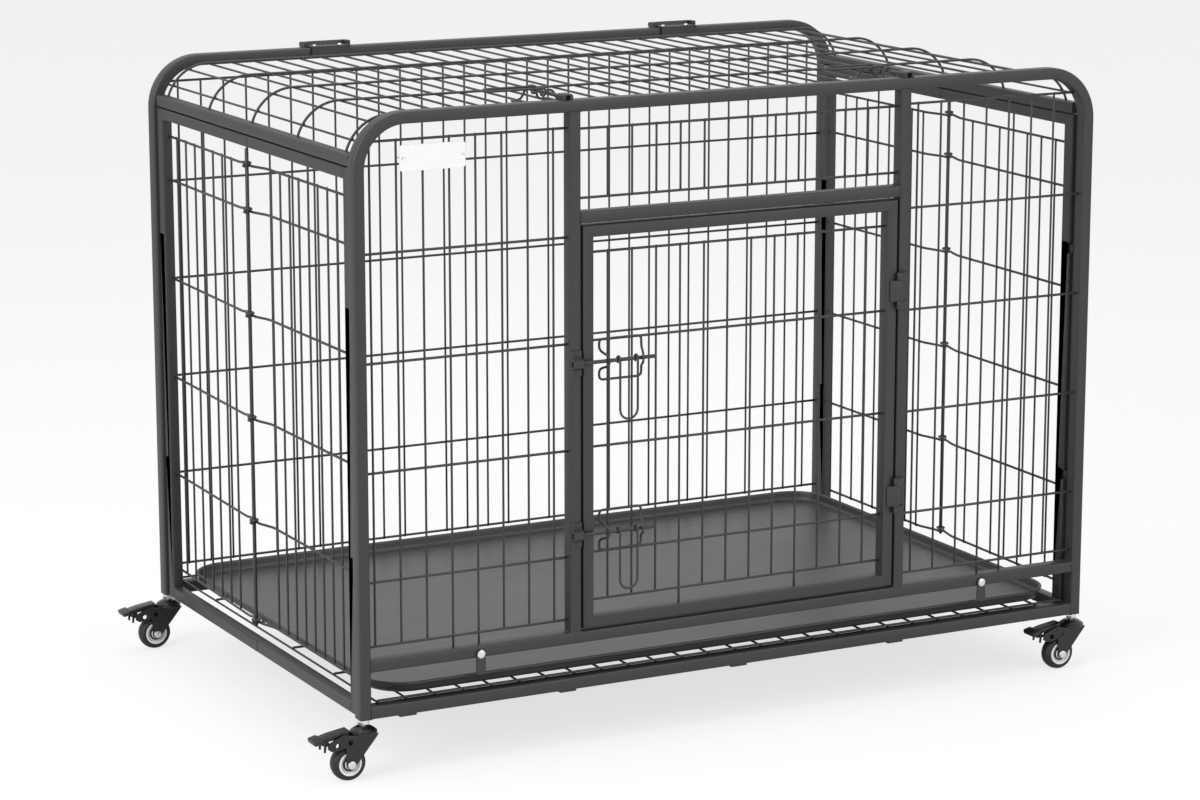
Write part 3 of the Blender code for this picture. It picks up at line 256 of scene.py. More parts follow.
def turned(profile: list[tuple], place: tuple, axis: str = "Z", steps: int = 32,
           loop: bool = False) -> Skin:
    """A profile of (radius, height) turned about an axis.

    Args:
        profile: points from one end to the other, or all the way round where it's a loop.
        place: the point that height 0 stands on.
        axis: "X", "Y" or "Z".
        steps: points round the axis.
        loop: whether the profile closes on itself, as in a tyre.

    Returns:
        The skin.
    """
    shape = np.array(profile, float)
    angle = np.linspace(0, 2 * np.pi, steps, endpoint=False)
    u = shape[:, :1] * np.cos(angle)
    v = shape[:, :1] * np.sin(angle)
    w = np.repeat(shape[:, 1:], steps, 1)
    order = {"Z": (u, v, w), "Y": (v, w, u), "X": (w, u, v)}[axis]
    return ring_skin(np.stack(order, -1) + np.array(place), loop)


PLANES = {"xz": (0, 2, 1), "yz": (1, 2, 0), "xy": (0, 1, 2)}


def inset(outline: np.ndarray, distance: float) -> np.ndarray:
    """An anticlockwise outline moved inwards square to its edges, each corner along its bisector."""
    ahead = unit(np.roll(outline, -1, 0) - outline)
    behind = np.roll(ahead, 1, 0)
    square = np.stack([-ahead[:, 1], ahead[:, 0]], -1)
    inward = unit(square + np.stack([-behind[:, 1], behind[:, 0]], -1))
    cosine = np.clip((inward * square).sum(1, keepdims=True), 0.35, 1)
    return outline + inward * distance / cosine


def anticlockwise(outline: list[tuple] | np.ndarray) -> np.ndarray:
    """The outline as an array, turned round where its area comes out negative."""
    points = np.array(outline, float)
    after = np.roll(points, -1, 0)
    area = (points[:, 0] * after[:, 1] - after[:, 0] * points[:, 1]).sum()
    return points if area > 0 else points[::-1]


def sheet(outline: list[tuple] | np.ndarray, low: float, high: float, plane: str, edge: float,
          holes: tuple = (), steps: int = 2) -> Skin:
    """A flat sheet or bar cut to an outline, with rounded edges.

    The wall of each outline is rings from one face to the other. Near a face a ring is inset by
    edge * (1 - cos t) and stands edge * (1 - sin t) from it, a quarter round.

    Args:
        outline: the outside, any direction round.
        low: where the sheet starts across its plane.
        high: where it ends.
        plane: "xz", "yz" or "xy".
        edge: the edges' radius.
        holes: outlines of openings.
        steps: segments of each quarter round.

    Returns:
        The closed skin.
    """
    bend = np.radians(np.linspace(90, 0, steps + 1))
    levels = [(edge - edge * math.cos(t), low + edge - edge * math.sin(t)) for t in bend]
    levels += [(inward, low + high - at) for inward, at in reversed(levels)]
    skins, flat, first, ends = [], [], 0, [[], []]
    for number, loop in enumerate((outline, *holes)):
        loop = anticlockwise(loop)
        sign = 1 if number == 0 else -1
        rows = []
        for inward, at in levels:
            moved = inset(loop, sign * inward)
            rows.append(np.concatenate([moved, np.full((len(moved), 1), at)], 1))
        rings = np.array(rows)
        skins.append(ring_skin(rings, caps=False))
        count = len(loop)
        flat.append([Vector((x, y, 0)) for x, y in rings[0][:, :2]])
        ends[0] += list(range(first, first + count))
        ends[1] += list(range(first + (len(levels) - 1) * count, first + len(levels) * count))
        first += len(levels) * count
    whole = merged(skins)
    triangles = np.array(tessellate_polygon(flat))
    low_cap = np.array(ends[0])[triangles]
    high_cap = np.array(ends[1])[triangles][:, ::-1]
    caps = np.concatenate([low_cap, high_cap])
    caps = np.concatenate([caps, np.full((len(caps), 1), NO_POINT)], 1)
    order = PLANES[plane]
    points = np.empty_like(whole.points)
    points[:, order] = whole.points
    return Skin(points, np.concatenate([whole.faces, caps]))


def block(low: tuple, high: tuple, edge: float) -> Skin:
    """A box between two corners, with rounded edges round its top and bottom."""
    outline = [(low[0], low[1]), (high[0], low[1]), (high[0], high[1]), (low[0], high[1])]
    return sheet(outline, low[2], high[2], "xy", edge)


def blobs(centres: np.ndarray, radii: tuple) -> Skin:
    """A small flattened ball at each centre: an octahedron with its edges halved, pushed out round.

    Args:
        centres: an (n, 3) array.
        radii: the ball's three radii.

    Returns:
        All the balls as one skin.
    """
    axes = np.array([[1, 0, 0], [0, 1, 0], [-1, 0, 0], [0, -1, 0], [0, 0, 1], [0, 0, -1]], float)
    points, faces = list(axes), []
    for i in range(4):
        j = (i + 1) % 4
        for pole, order in ((4, 1), (5, -1)):
            a, b, c = axes[i], axes[j], axes[pole]
            first = len(points)
            points += list(unit(np.array([a + b, b + c, c + a])))
            ab, bc, ca = first, first + 1, first + 2
            new = [(i, ab, ca), (ab, j, bc), (ca, bc, pole), (ab, bc, ca)]
            faces += [face[::order] for face in new]
    ball = np.array(points) * np.array(radii)
    shape = np.concatenate([np.array(faces), np.full((len(faces), 1), NO_POINT)], 1)
    centres = np.asarray(centres, float)
    spread = (centres[:, None] + ball[None]).reshape(-1, 3)
    lift = np.arange(len(centres))[:, None, None] * len(ball)
    numbers = np.where(shape[None] == NO_POINT, NO_POINT, shape[None] + lift).reshape(-1, 4)
    return Skin(spread, numbers)


def seam(centre: tuple, width: float, depth: float, flat: str, radius: float = 0.0009) -> Skin:
    """A weld bead round a tube where it meets another: a rounded loop of wire of uneven radius.

    Args:
        centre: the middle of the joint.
        width: the tube's size along the first of the loop's axes, that isn't the tube's own.
        depth: its size along the second.
        flat: the loop's plane, "xz", "yz" or "xy".
        radius: the bead's mean radius.

    Returns:
        The bead's skin.
    """
    loop = rounded_section(width, depth, 0.0025, 3)
    steps = []
    for here, after in zip(loop, np.roll(loop, -1, 0)):
        count = max(1, int(np.linalg.norm(after - here) / 0.0025))
        steps += [here + (after - here) * i / count for i in range(count)]
    ring = np.array(steps)
    order = PLANES[flat]
    points = np.zeros((len(ring), 3))
    points[:, order[0]] = ring[:, 0]
    points[:, order[1]] = ring[:, 1]
    wobble = 1 + 0.22 * np.sin(np.arange(len(ring)) * 2.1) + 0.12 * np.sin(np.arange(len(ring)) * 5.3)
    skin = round_wire(points, 1.0, 6, closed=True)
    middle = np.repeat(points, 6, 0)
    spread = (skin.points - middle) * (radius * np.repeat(wobble, 6))[:, None]
    return Skin(middle + spread + np.array(centre), skin.faces)


def rounded_path(corners: list[tuple], radius: float, steps: int = 4) -> np.ndarray:
    """A path of straight lines with each inner corner rounded off.

    A corner is replaced by points on the curve (1 - t)^2 a + 2 t (1 - t) b + t^2 c, where a and c
    stand one radius, or half an edge where that is less, from the corner b.
    """
    corners = [np.array(corner, float) for corner in corners]
    path = [corners[0]]
    for before, here, after in zip(corners, corners[1:], corners[2:]):
        back, on = before - here, after - here
        reach = min(radius, np.linalg.norm(back) / 2, np.linalg.norm(on) / 2)
        a, c = here + unit(back) * reach, here + unit(on) * reach
        for t in np.linspace(0, 1, steps + 1):
            path.append((1 - t) ** 2 * a + 2 * t * (1 - t) * here + t * t * c)
    return np.array(path + [corners[-1]])


def rounded_loop(corners: list[tuple], radius: float, steps: int = 4) -> np.ndarray:
    """A closed path of straight lines with every corner rounded off."""
    around = [corners[-1], *corners, corners[0]]
    return rounded_path(around, radius, steps)[1:-1]


class Value:
    """One number or colour in a shader, with arithmetic that adds the nodes for it."""

    def __init__(self, graph: "Graph", socket: bpy.types.NodeSocket) -> None:
        self.graph = graph
        self.socket = socket

    def _math(self, operation: str, *others: "Value | float") -> "Value":
        inputs = dict(enumerate((self, *others)))
        return self.graph.value("ShaderNodeMath", inputs, operation=operation)

    def __add__(self, other: "Value | float") -> "Value":
        return self._math("ADD", other)

    def __mul__(self, other: "Value | float") -> "Value":
        return self._math("MULTIPLY", other)

    def larger(self, other: "Value | float") -> "Value":
        """The larger of two values."""
        return self._math("MAXIMUM", other)

    def clamped(self, low: float, high: float) -> "Value":
        """The value held between two limits."""
        return self.larger(low)._math("MINIMUM", high)

    def spread(self, low: float, high: float) -> "Value":
        """The value's range from 0 to 1 stretched to run from low to high."""
        return self.graph.value("ShaderNodeMapRange", {0: self, 3: low, 4: high})


class Graph:
    """The nodes of a material or a world, and the methods that add them."""

    def __init__(self, owner: "bpy.types.Material | bpy.types.World") -> None:
        owner.use_nodes = True
        self.owner = owner
        self.tree = owner.node_tree
        self.tree.nodes.clear()

    def node(self, kind: str, inputs: dict, **settings: str) -> bpy.types.Node:
        """Adds a node.

        Args:
            kind: the node's type.
            inputs: input name or number to a Value, or to a plain number or colour.
            settings: properties to set on it first.

        Returns:
            The node.
        """
        made = self.tree.nodes.new(kind)
        for key, value in settings.items():
            setattr(made, key, value)
        for key, value in inputs.items():
            if isinstance(value, Value):
                self.tree.links.new(value.socket, made.inputs[key])
            else:
                made.inputs[key].default_value = value
        return made

    def value(self, kind: str, inputs: dict, output: int | str = 0, **settings: str) -> Value:
        """Adds a node as above, and gives one of its outputs."""
        return Value(self, self.node(kind, inputs, **settings).outputs[output])

    def ray(self, kind: str) -> Value:
        """1 where the ray is of this kind, and 0 elsewhere."""
        return self.value("ShaderNodeLightPath", {}, kind)

    def noise(self, scale: float, detail: float, stretch: tuple = (1, 1, 1)) -> Value:
        """Soft noise from about 0 to 1 over the object, with this many features a metre."""
        place = self.value("ShaderNodeTexCoord", {}, "Object")
        where = self.value("ShaderNodeMapping", {"Vector": place, "Scale": stretch})
        return self.value("ShaderNodeTexNoise", {"Vector": where, "Scale": scale, "Detail": detail}, "Fac")

    def mixed(self, factor: Value, first: tuple, second: tuple) -> Value:
        """A colour between two by the factor."""
        inputs = {0: factor, 6: (*first, 1), 7: (*second, 1)}
        return self.value("ShaderNodeMix", inputs, 2, data_type="RGBA")

    def bump(self, height: Value, distance: float) -> Value:
        """A surface normal pushed about by a height."""
        return self.value("ShaderNodeBump", {"Height": height, "Distance": distance, "Strength": 1.0})

    def finish(self, inputs: dict) -> bpy.types.Material:
        """Ends the material in a Principled shader with these inputs."""
        shader = self.value("ShaderNodeBsdfPrincipled", inputs)
        self.node("ShaderNodeOutputMaterial", {"Surface": shader})
        return self.owner


@dataclass(frozen=True)
class Surface:
    """What every finish shares: a name, two colours to drift between, and a mean roughness."""

    name: str
    first: tuple
    second: tuple
    roughness: float

    def build(self) -> bpy.types.Material:
        """Makes the material."""
        graph = Graph(bpy.data.materials.new(self.name))
        return graph.finish(self.inputs(graph))

    def inputs(self, graph: Graph) -> dict:
        """The shader's inputs, which each kind of finish gives."""
        raise NotImplementedError


class PowderCoat(Surface):
    """Baked powder paint: a dark colour, a satin sheen and a fine orange peel."""

    def inputs(self, graph: Graph) -> dict:
        """Colour and roughness from soft clouds and specks, the peel as a bump."""
        cloud, speck, peel = graph.noise(7.0, 4.0), graph.noise(900.0, 2.0), graph.noise(420.0, 2.0)
        shade = (cloud * 0.6 + speck * 0.4).clamped(0, 1)
        return {
            "Base Color": graph.mixed(shade, self.first, self.second),
            "Roughness": (cloud * 0.10 + speck * 0.06 + (self.roughness - 0.08)).clamped(0.1, 0.9),
            "Normal": graph.bump(peel, 0.00006),
        }


class CoatedSheet(Surface):
    """The tray's coating: dark, with cloudy sheen and faint rub marks along its length."""

    def inputs(self, graph: Graph) -> dict:
        """Colour and roughness from clouds and stretched rub marks, specks as a bump."""
        cloud, rub = graph.noise(5.0, 5.0), graph.noise(60.0, 3.0, (0.25, 1.6, 1.0))
        return {
            "Base Color": graph.mixed((cloud * 0.7 + rub * 0.3).clamped(0, 1), self.first, self.second),
            "Roughness": (cloud * 0.14 + rub * 0.10 + (self.roughness - 0.12)).clamped(0.1, 0.9),
            "Normal": graph.bump(graph.noise(700.0, 2.0), 0.00005),
        }


class Moulded(Surface):
    """Rubber or plastic: one colour, with a little dust and an even sheen."""

    def inputs(self, graph: Graph) -> dict:
        """Colour and roughness from clouds of dust, a fine grain as a bump."""
        cloud = graph.noise(90.0, 4.0)
        return {
            "Base Color": graph.mixed(cloud.spread(0, 1), self.first, self.second),
            "Roughness": (cloud * 0.12 + (self.roughness - 0.06)).clamped(0.05, 0.95),
            "Normal": graph.bump(graph.noise(1500.0, 2.0), 0.00003),
        }


class Plated(Surface):
    """Bright zinc plate on steel, faintly mottled."""

    def inputs(self, graph: Graph) -> dict:
        """One mottle for colour, roughness and bump."""
        mottle = graph.noise(400.0, 3.0)
        return {
            "Base Color": graph.mixed(mottle, self.first, self.second),
            "Metallic": 1.0,
            "Roughness": (mottle * 0.12 + (self.roughness - 0.06)).clamped(0.05, 0.9),
            "Normal": graph.bump(mottle, 0.00004),
        }


class Finish(Enum):
    """Every finish on the crate."""

    COAT = PowderCoat("satin_charcoal_coat", (0.015, 0.0162, 0.0160), (0.0235, 0.0252, 0.0248), 0.48)
    WIRE = PowderCoat("wire_charcoal_coat", (0.015, 0.016, 0.016), (0.023, 0.0245, 0.0245), 0.44)
    TRAY = CoatedSheet("tray_coat", (0.022, 0.023, 0.023), (0.040, 0.041, 0.041), 0.40)
    FORK = PowderCoat("black_fork_paint", (0.0015, 0.0015, 0.0016), (0.0035, 0.0035, 0.0037), 0.32)
    RUBBER = Moulded("tyre_rubber", (0.0028, 0.0028, 0.0028), (0.0075, 0.0073, 0.0070), 0.55)
    NYLON = Moulded("white_hub_plastic", (0.80, 0.80, 0.78), (0.72, 0.71, 0.68), 0.36)
    ZINC = Plated("bright_zinc", (0.56, 0.57, 0.58), (0.74, 0.74, 0.75), 0.26)
    PLATE = Moulded("bare_name_plate", (0.83, 0.83, 0.82), (0.77, 0.77, 0.76), 0.34)


SLOTS = {Finish.COAT: "frame_coat", Finish.WIRE: "wire_coat", Finish.TRAY: "tray_sheet",
         Finish.FORK: "fork_steel", Finish.RUBBER: "tyre_rubber", Finish.NYLON: "hub_nylon",
         Finish.ZINC: "bright_steel"}


def added(name: str, data: bpy.types.ID) -> bpy.types.Object:
    """A new object in the scene that shows a mesh, a lamp or a camera."""
    obj = bpy.data.objects.new(name, data)
    bpy.context.scene.collection.objects.link(obj)
    return obj


def aimed(obj: bpy.types.Object, place: Vector, ahead: Vector) -> None:
    """Puts a lamp or camera at a place and turns it to look ahead."""
    obj.location = place
    obj.rotation_mode = "QUATERNION"
    obj.rotation_quaternion = ahead.to_track_quat("-Z", "Y")


class Workshop:
    """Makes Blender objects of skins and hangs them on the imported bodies."""

    crease = 38.0  # edges sharper than this, in degrees, stay sharp

    def __init__(self) -> None:
        low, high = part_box("front_frame")
        tray_low, tray_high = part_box("tray")
        middle_y = (tray_low.y + tray_high.y) / 2 - (TRAY.back - TRAY.front) / 2
        self.shift = np.array([(low.x + high.x) / 2, middle_y, 0.0])
        self.finishes = {kind: kind.value.build() for kind in Finish}

    def piece(self, name: str, skins: list[Skin], finish: Finish, body: str,
              *replaces: str) -> bpy.types.Object:
        """Makes one finished piece.

        Args:
            name: the object's name.
            skins: its skins, in the crate's frame.
            finish: what it is painted with or made of.
            body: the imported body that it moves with.
            replaces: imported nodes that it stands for.

        Returns:
            The object.
        """
        skin = merged(skins)
        mesh = bpy.data.meshes.new(name)
        numbers = skin.faces.reshape(-1)
        kept = numbers[numbers != NO_POINT]
        sizes = (skin.faces != NO_POINT).sum(1)
        mesh.vertices.add(len(skin.points))
        mesh.vertices.foreach_set("co", (skin.points + self.shift).astype(np.float32).reshape(-1))
        mesh.loops.add(len(kept))
        mesh.loops.foreach_set("vertex_index", kept.astype(np.int32))
        mesh.polygons.add(len(sizes))
        starts = np.concatenate([[0], np.cumsum(sizes)[:-1]])
        mesh.polygons.foreach_set("loop_start", starts.astype(np.int32))
        mesh.update(calc_edges=True)
        mesh.validate()
        shape = bmesh.new()
        shape.from_mesh(mesh)
        bmesh.ops.remove_doubles(shape, verts=shape.verts, dist=1e-7)
        bmesh.ops.recalc_face_normals(shape, faces=shape.faces)
        shape.to_mesh(mesh)
        shape.free()
        mesh.shade_smooth()
        mesh.set_sharp_from_angle(angle=math.radians(self.crease))
        corners = np.empty(len(mesh.polygons), np.int32)
        mesh.polygons.foreach_get("loop_total", corners)
        mesh.polygons.foreach_set("use_smooth", corners > 3)
        mesh.materials.append(self.finishes[finish])
        obj = added(name, mesh)
        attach(obj, body)
        if replaces:
            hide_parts(*replaces)
        finish in SLOTS
        log.info("%-28s %6d faces on %s", name, len(sizes), body)
        return obj


@dataclass(frozen=True)
class FrameSize:
    """The tube frames, in metres, in the crate's own frame."""

    half_length: float = 0.5375
    half_depth: float = 0.345
    top: float = 0.828
    foot: float = 0.0755
    tube: float = 0.015
    depth: float = 0.020
    corner: float = 0.070
    edge: float = 0.0024
    bottom_rail: float = 0.016
    lower_rail: float = 0.1355
    header: float = 0.6735
    left_post: float = -0.2383
    right_post: float = 0.2429

    @property
    def leg_x(self) -> float:
        """A leg's middle along the crate."""
        return self.half_length - self.tube / 2

    @property
    def frame_y(self) -> float:
        """A frame's middle across the crate."""
        return self.half_depth - self.depth / 2

    @property
    def inner_y(self) -> float:
        """A frame's inner face."""
        return self.half_depth - self.depth

    @property
    def rail_top(self) -> float:
        """The bottom rail's top."""
        return self.foot + self.bottom_rail

    @property
    def lower_top(self) -> float:
        """The top of the rail over the tray slot."""
        return self.lower_rail + self.tube

    def corner_height(self, x: float) -> float:
        """Height of the underside of the top tube at this place along the crate."""
        past = max(abs(x) - (self.half_length - self.corner), 0.0)
        inner = self.corner - self.tube
        return self.top - self.corner + math.sqrt(max(inner**2 - past**2, 0.0))

    def corner_width(self, z: float) -> float:
        """Half the inside width at this height."""
        past = max(z - (self.top - self.corner), 0.0)
        inner = self.corner - self.tube
        return self.half_length - self.corner + math.sqrt(max(inner**2 - past**2, 0.0))


@dataclass(frozen=True)
class WireSize:
    """Welded wire: level and upright radii, and how far a weld sinks one into the other."""

    level: float = 0.0017
    upright: float = 0.00145
    sink: float = 0.0008

    @property
    def layer(self) -> float:
        """From a level wire's middle to an upright's, through the grid."""
        return self.level + self.upright - self.sink


@dataclass(frozen=True)
class TraySize:
    """The tray: half length, reach to front and back, underside, height, corners and floor."""

    half_length: float = 0.507
    front: float = 0.334
    back: float = 0.330
    foot: float = 0.0985
    height: float = 0.0145
    corner: float = 0.055
    thickness: float = 0.0011


FRAME = FrameSize()
WIRE = WireSize()
TRAY = TraySize()
LEVELS = (0.793, 0.6565, 0.5215, 0.385, 0.2475, 0.166)


@dataclass
class WirePanel:
    """A flat grid of level and upright wires, welded where they cross.

    level holds (height, start, end) and upright (across, foot, top). place puts an (across, depth,
    height) triple in the crate's frame, where depth grows towards the uprights' side.
    """

    level: list[tuple]
    upright: list[tuple]
    place: Callable
    layer: float = WIRE.layer

    def skins(self) -> list[Skin]:
        """The wires, and a small melted swell at each crossing."""
        made = [rod(self.place(a, 0, z), self.place(b, 0, z), WIRE.level) for z, a, b in self.level]
        made += [rod(self.place(x, self.layer, low), self.place(x, self.layer, high), WIRE.upright)
                 for x, low, high in self.upright]
        return made + [self.welds()]

    def welds(self) -> Skin:
        """A swell where each upright crosses each level wire."""
        centres = [self.place(x, self.layer / 2, z) for z, a, b in self.level
                   for x, low, high in self.upright
                   if min(a, b) - 0.002 < x < max(a, b) + 0.002 and low - 0.003 < z < high + 0.003]
        return blobs(np.array(centres), WELD)


def front_place(x: float, depth: float, z: float) -> tuple:
    """A point of a grid in the front frame's plane."""
    return (x, -FRAME.frame_y + depth, z)


def back_place(x: float, depth: float, z: float) -> tuple:
    """A point of a grid in the back frame's plane."""
    return (x, FRAME.frame_y - depth, z)


def upright_wire(x: float, foot: float) -> tuple:
    """An upright of a frame's grid, which ends past the top level wire or in the rounded corner."""
    return (x, foot, min(LEVELS[0] + TAIL, FRAME.corner_height(x) + WIRE_LAP))


@dataclass
class TubeFrame:
    """What the front and back frames share: a bent tube with two legs, and a bottom rail."""

    facing: int
    size: FrameSize = FRAME

    def section(self, width: float) -> np.ndarray:
        """The tube's section, width in the frame's plane."""
        return rounded_section(width, self.size.depth, self.size.edge)

    def arch(self) -> Skin:
        """The bent tube, foot to foot over both rounded corners."""
        s = self.size
        middle = s.corner - s.tube / 2
        x, z, y = s.half_length - s.corner, s.top - s.corner, self.facing * s.frame_y
        flat = [(-s.leg_x, s.foot)] + arc(-x, z, middle, 180, 90, 16) + arc(x, z, middle, 90, 0, 16)
        flat += [(s.leg_x, s.foot)]
        return swept(np.array([(a, y, b) for a, b in flat]), self.section(s.tube), ACROSS)

    def rail(self, x0: float, x1: float, low: float, high: float) -> list[Skin]:
        """A level tube, its ends let into what they meet, and the weld bead at each."""
        y, z = self.facing * self.size.frame_y, (low + high) / 2
        path = np.array([(x0 - TUBE_LAP, y, z), (x1 + TUBE_LAP, y, z)])
        beads = [seam((x, y, z), self.size.depth, high - low, "yz") for x in (x0, x1)]
        return [swept(path, self.section(high - low), ACROSS), *beads]

    def post(self, x: float, low: float, high: float) -> list[Skin]:
        """An upright tube between two heights, and the weld bead at each end."""
        y, tube = self.facing * self.size.frame_y, self.size.tube
        path = np.array([(x, y, low - TUBE_LAP), (x, y, high + TUBE_LAP)])
        beads = [seam((x, y, z), tube, self.size.depth, "xy") for z in (low, high)]
        return [swept(path, self.section(tube), ACROSS), *beads]

    def hinge_tabs(self) -> list[Skin]:
        """The tabs on each leg's inner side that the end panels turn on, with their rivet heads."""
        half, y = END.hinge_height / 2 - 0.0005, self.facing * END.pivot_y
        turn = (180, 360) if self.facing > 0 else (180, 0)
        root, made = self.facing * (self.size.inner_y + 0.0015), []
        head = [(0.0022, 0), (0.0021, 0.0002), (0.0012, 0.00045)]
        for x in (-END.pivot_x, END.pivot_x):
            outline = arc(x, y, END.hinge_radius, *turn, 12)
            outline += [(x + END.hinge_radius, root), (x - END.hinge_radius, root)]
            for level in END.hinge_levels:
                made.append(sheet(outline, level - half, level + half, "xy", 0.0006))
                made.append(turned(head, (x, y, level + half - 0.0001), "Z", 12))
        return made

    def legs_and_base(self) -> list[Skin]:
        """The arch, the bottom rail with its beads, and the hinge tabs."""
        s = self.size
        inner = s.half_length - s.tube
        return [self.arch(), *self.rail(-inner, inner, s.foot, s.rail_top), *self.hinge_tabs()]


@dataclass(frozen=True)
class EndSize:
    """The folding end panels."""

    inside: float = 0.5185
    outside: float = 0.5335
    stile_front: float = 0.3215
    stile: float = 0.018
    top: float = 0.7605
    rail: float = 0.015
    hinge_levels: tuple = (0.268, 0.580)
    hinge_height: float = 0.013
    hinge_radius: float = 0.0045
    pivot_y: float = 0.3125
    middle_gap: float = 0.0005
    rod_radius: float = 0.0025
    levels: tuple = (0.722, 0.6625, 0.5265, 0.389, 0.2515, 0.1165)
    straight: tuple = (7, 0.035)
    cranked: tuple = (9, 0.030)
    crank_run: float = 0.028
    eye_lift: float = 0.004
    eye_run: float = 0.008
    bend: float = 0.006
    first_bar: float = 0.020
    rod_tail: float = 0.0055
    edge: float = 0.0021

    @property
    def pivot_x(self) -> float:
        """The panels' middle, through their thickness."""
        return (self.inside + self.outside) / 2

    @property
    def rod_x(self) -> float:
        """The upright rod's place."""
        return self.outside + self.middle_gap

    @property
    def wire_x(self) -> float:
        """The level wires' place at the stiles."""
        return self.inside + 0.003


END = EndSize()


@dataclass
class NutStack:
    """A caster's hexagonal nut and threaded stem between a leg and the swivel head."""

    x: float
    y: float

    def skins(self) -> list[Skin]:
        """The nut, a washer and the stem."""
        x, y, foot = self.x, self.y, FRAME.foot
        washer = [(0.0072, 0), (0.0077, 0.0004), (0.0077, 0.0012)]
        stem = [(0.0036, 0), (0.0039, 0.0006), (0.0039, 0.012)]
        return [sheet(circle(x, y, 0.0078, 6), foot - 0.0066, foot - 0.0012, "xy", 0.0006),
                turned(washer, (x, y, foot - 0.0012), "Z", 24),
                turned(stem, (x, y, foot - 0.0178), "Z", 16)]


@dataclass
class FrontFrame(TubeFrame):
    """The front frame: arch, rails, posts, header, keepers, hinge lugs and rivets."""

    facing: int = -1
    pads: tuple = (-0.472, -0.2485, 0.0015, 0.2415)

    def tubes(self) -> list[Skin]:
        """Every tube and bead of the frame."""
        s = self.size
        inner, under = s.half_length - s.tube, s.top - s.tube
        made = self.legs_and_base() + self.rail(-inner, inner, s.lower_rail, s.lower_top)
        for x in (s.left_post, s.right_post):
            made += self.post(x, s.lower_top, under)
        left, right = s.left_post + s.tube / 2, s.right_post - s.tube / 2
        return made + self.rail(left, right, s.header, s.header + s.tube)

    def keeper(self, x: float, level: float) -> list[Skin]:
        """A strap bent over a bolt's tip on the left post and open towards it, with a rivet at each end."""
        face = -self.size.half_depth
        lip, bridge, out = 0.0016, 0.0048, face - 0.0085
        half = [(face, 0.016), (face - lip, 0.016), (face - lip, bridge + 0.0035), (out, bridge)]
        mouth = [(out + lip, bridge - 0.0018), (face, bridge - 0.0006)]
        profile = half + mirrored(half) + mirrored(mouth) + mouth
        made = [sheet([(y, level + z) for y, z in profile], x - 0.0072, x + 0.0072, "yz", 0.0004)]
        for end in (-1, 1):
            made.append(turned([(0.0026, 0), (0.0024, 0.0007), (0.0012, 0.0011)],
                               (x, face - lip + 0.0001, level + end * 0.0122), "Y", 14).turned(
                Matrix.Translation((x, face - lip, level)) @ Matrix.Rotation(math.pi, 4, "Z")
                @ Matrix.Translation((-x, lip - face, -level))))
        return made

    def lid_keeper(self, x: float) -> Skin:
        """A strap over a lid bolt's tip on the top rail."""
        s = self.size
        top, front, back = s.top, -s.half_depth + 0.002, -s.inner_y - 0.0003
        high, half = top + 0.0077, 0.0072
        outline = [(x - half, top - 0.0002), (x - half, top + 0.0055), (x - half + 0.0022, high),
                   (x + half - 0.0022, high), (x + half, top + 0.0055), (x + half, top - 0.0002),
                   (x + 0.0034, top - 0.0002), (x + 0.0034, top + 0.0058), (x - 0.0034, top + 0.0058),
                   (x - 0.0034, top - 0.0002)]
        return sheet(outline, front, back, "xz", 0.0005)

    def feet(self) -> list[Skin]:
        """The small pads under the bottom rail."""
        y, foot = -self.size.frame_y, self.size.foot
        return [block((x - 0.0115, y - 0.007, foot - 0.003), (x + 0.0115, y + 0.007, foot + 0.0005), 0.0008)
                for x in self.pads]

    def door_lugs(self) -> list[Skin]:
        """The fixed knuckles and leaves of the door's hinges, on the right post."""
        made = []
        for level in DOOR.hinge_levels:
            near, far = DOOR.post_knuckle
            for low, high in ((level - far, level - near), (level + near, level + far)):
                made += DOOR.knuckle(1, low, high)
        return made


@dataclass(frozen=True)
class DoorSize:
    """The door, its hinges and where its bolts are."""

    left: float = -0.2279
    right: float = 0.2325
    bottom: float = 0.1534
    top: float = 0.6706
    hinge_levels: tuple = (0.276, 0.551)
    axis_x: float = 0.23395
    axis_y: float = -0.3498
    knuckle_radius: float = 0.0045
    post_knuckle: tuple = (0.014, 0.024)  # where it starts and ends, from the hinge's middle
    door_knuckle: float = 0.0137
    levels: tuple = (0.6355, 0.5235, 0.387, 0.2505, 0.1883)
    bars: int = 12
    pitch: float = 0.0345
    bolt_levels: tuple = (0.2775, 0.498)

    def knuckle(self, hand: int, low: float, high: float) -> list[Skin]:
        """A hinge knuckle and its leaf, on the post (1) or the door (-1)."""
        face = -FRAME.half_depth
        edge = self.axis_x + hand * 0.00175
        far = edge + hand * 0.011
        rim = arc(0, 0, self.knuckle_radius, 75, 325, 18)
        outline = [(self.axis_x + hand * x, self.axis_y + y) for x, y in rim]
        outline += [(far, face - 0.0019), (far, face + 0.0006), (edge, face + 0.0006)]
        bore = circle(self.axis_x, self.axis_y, 0.00265)
        return [sheet(outline, low, high, "xy", 0.0003, (bore,))]


DOOR = DoorSize()


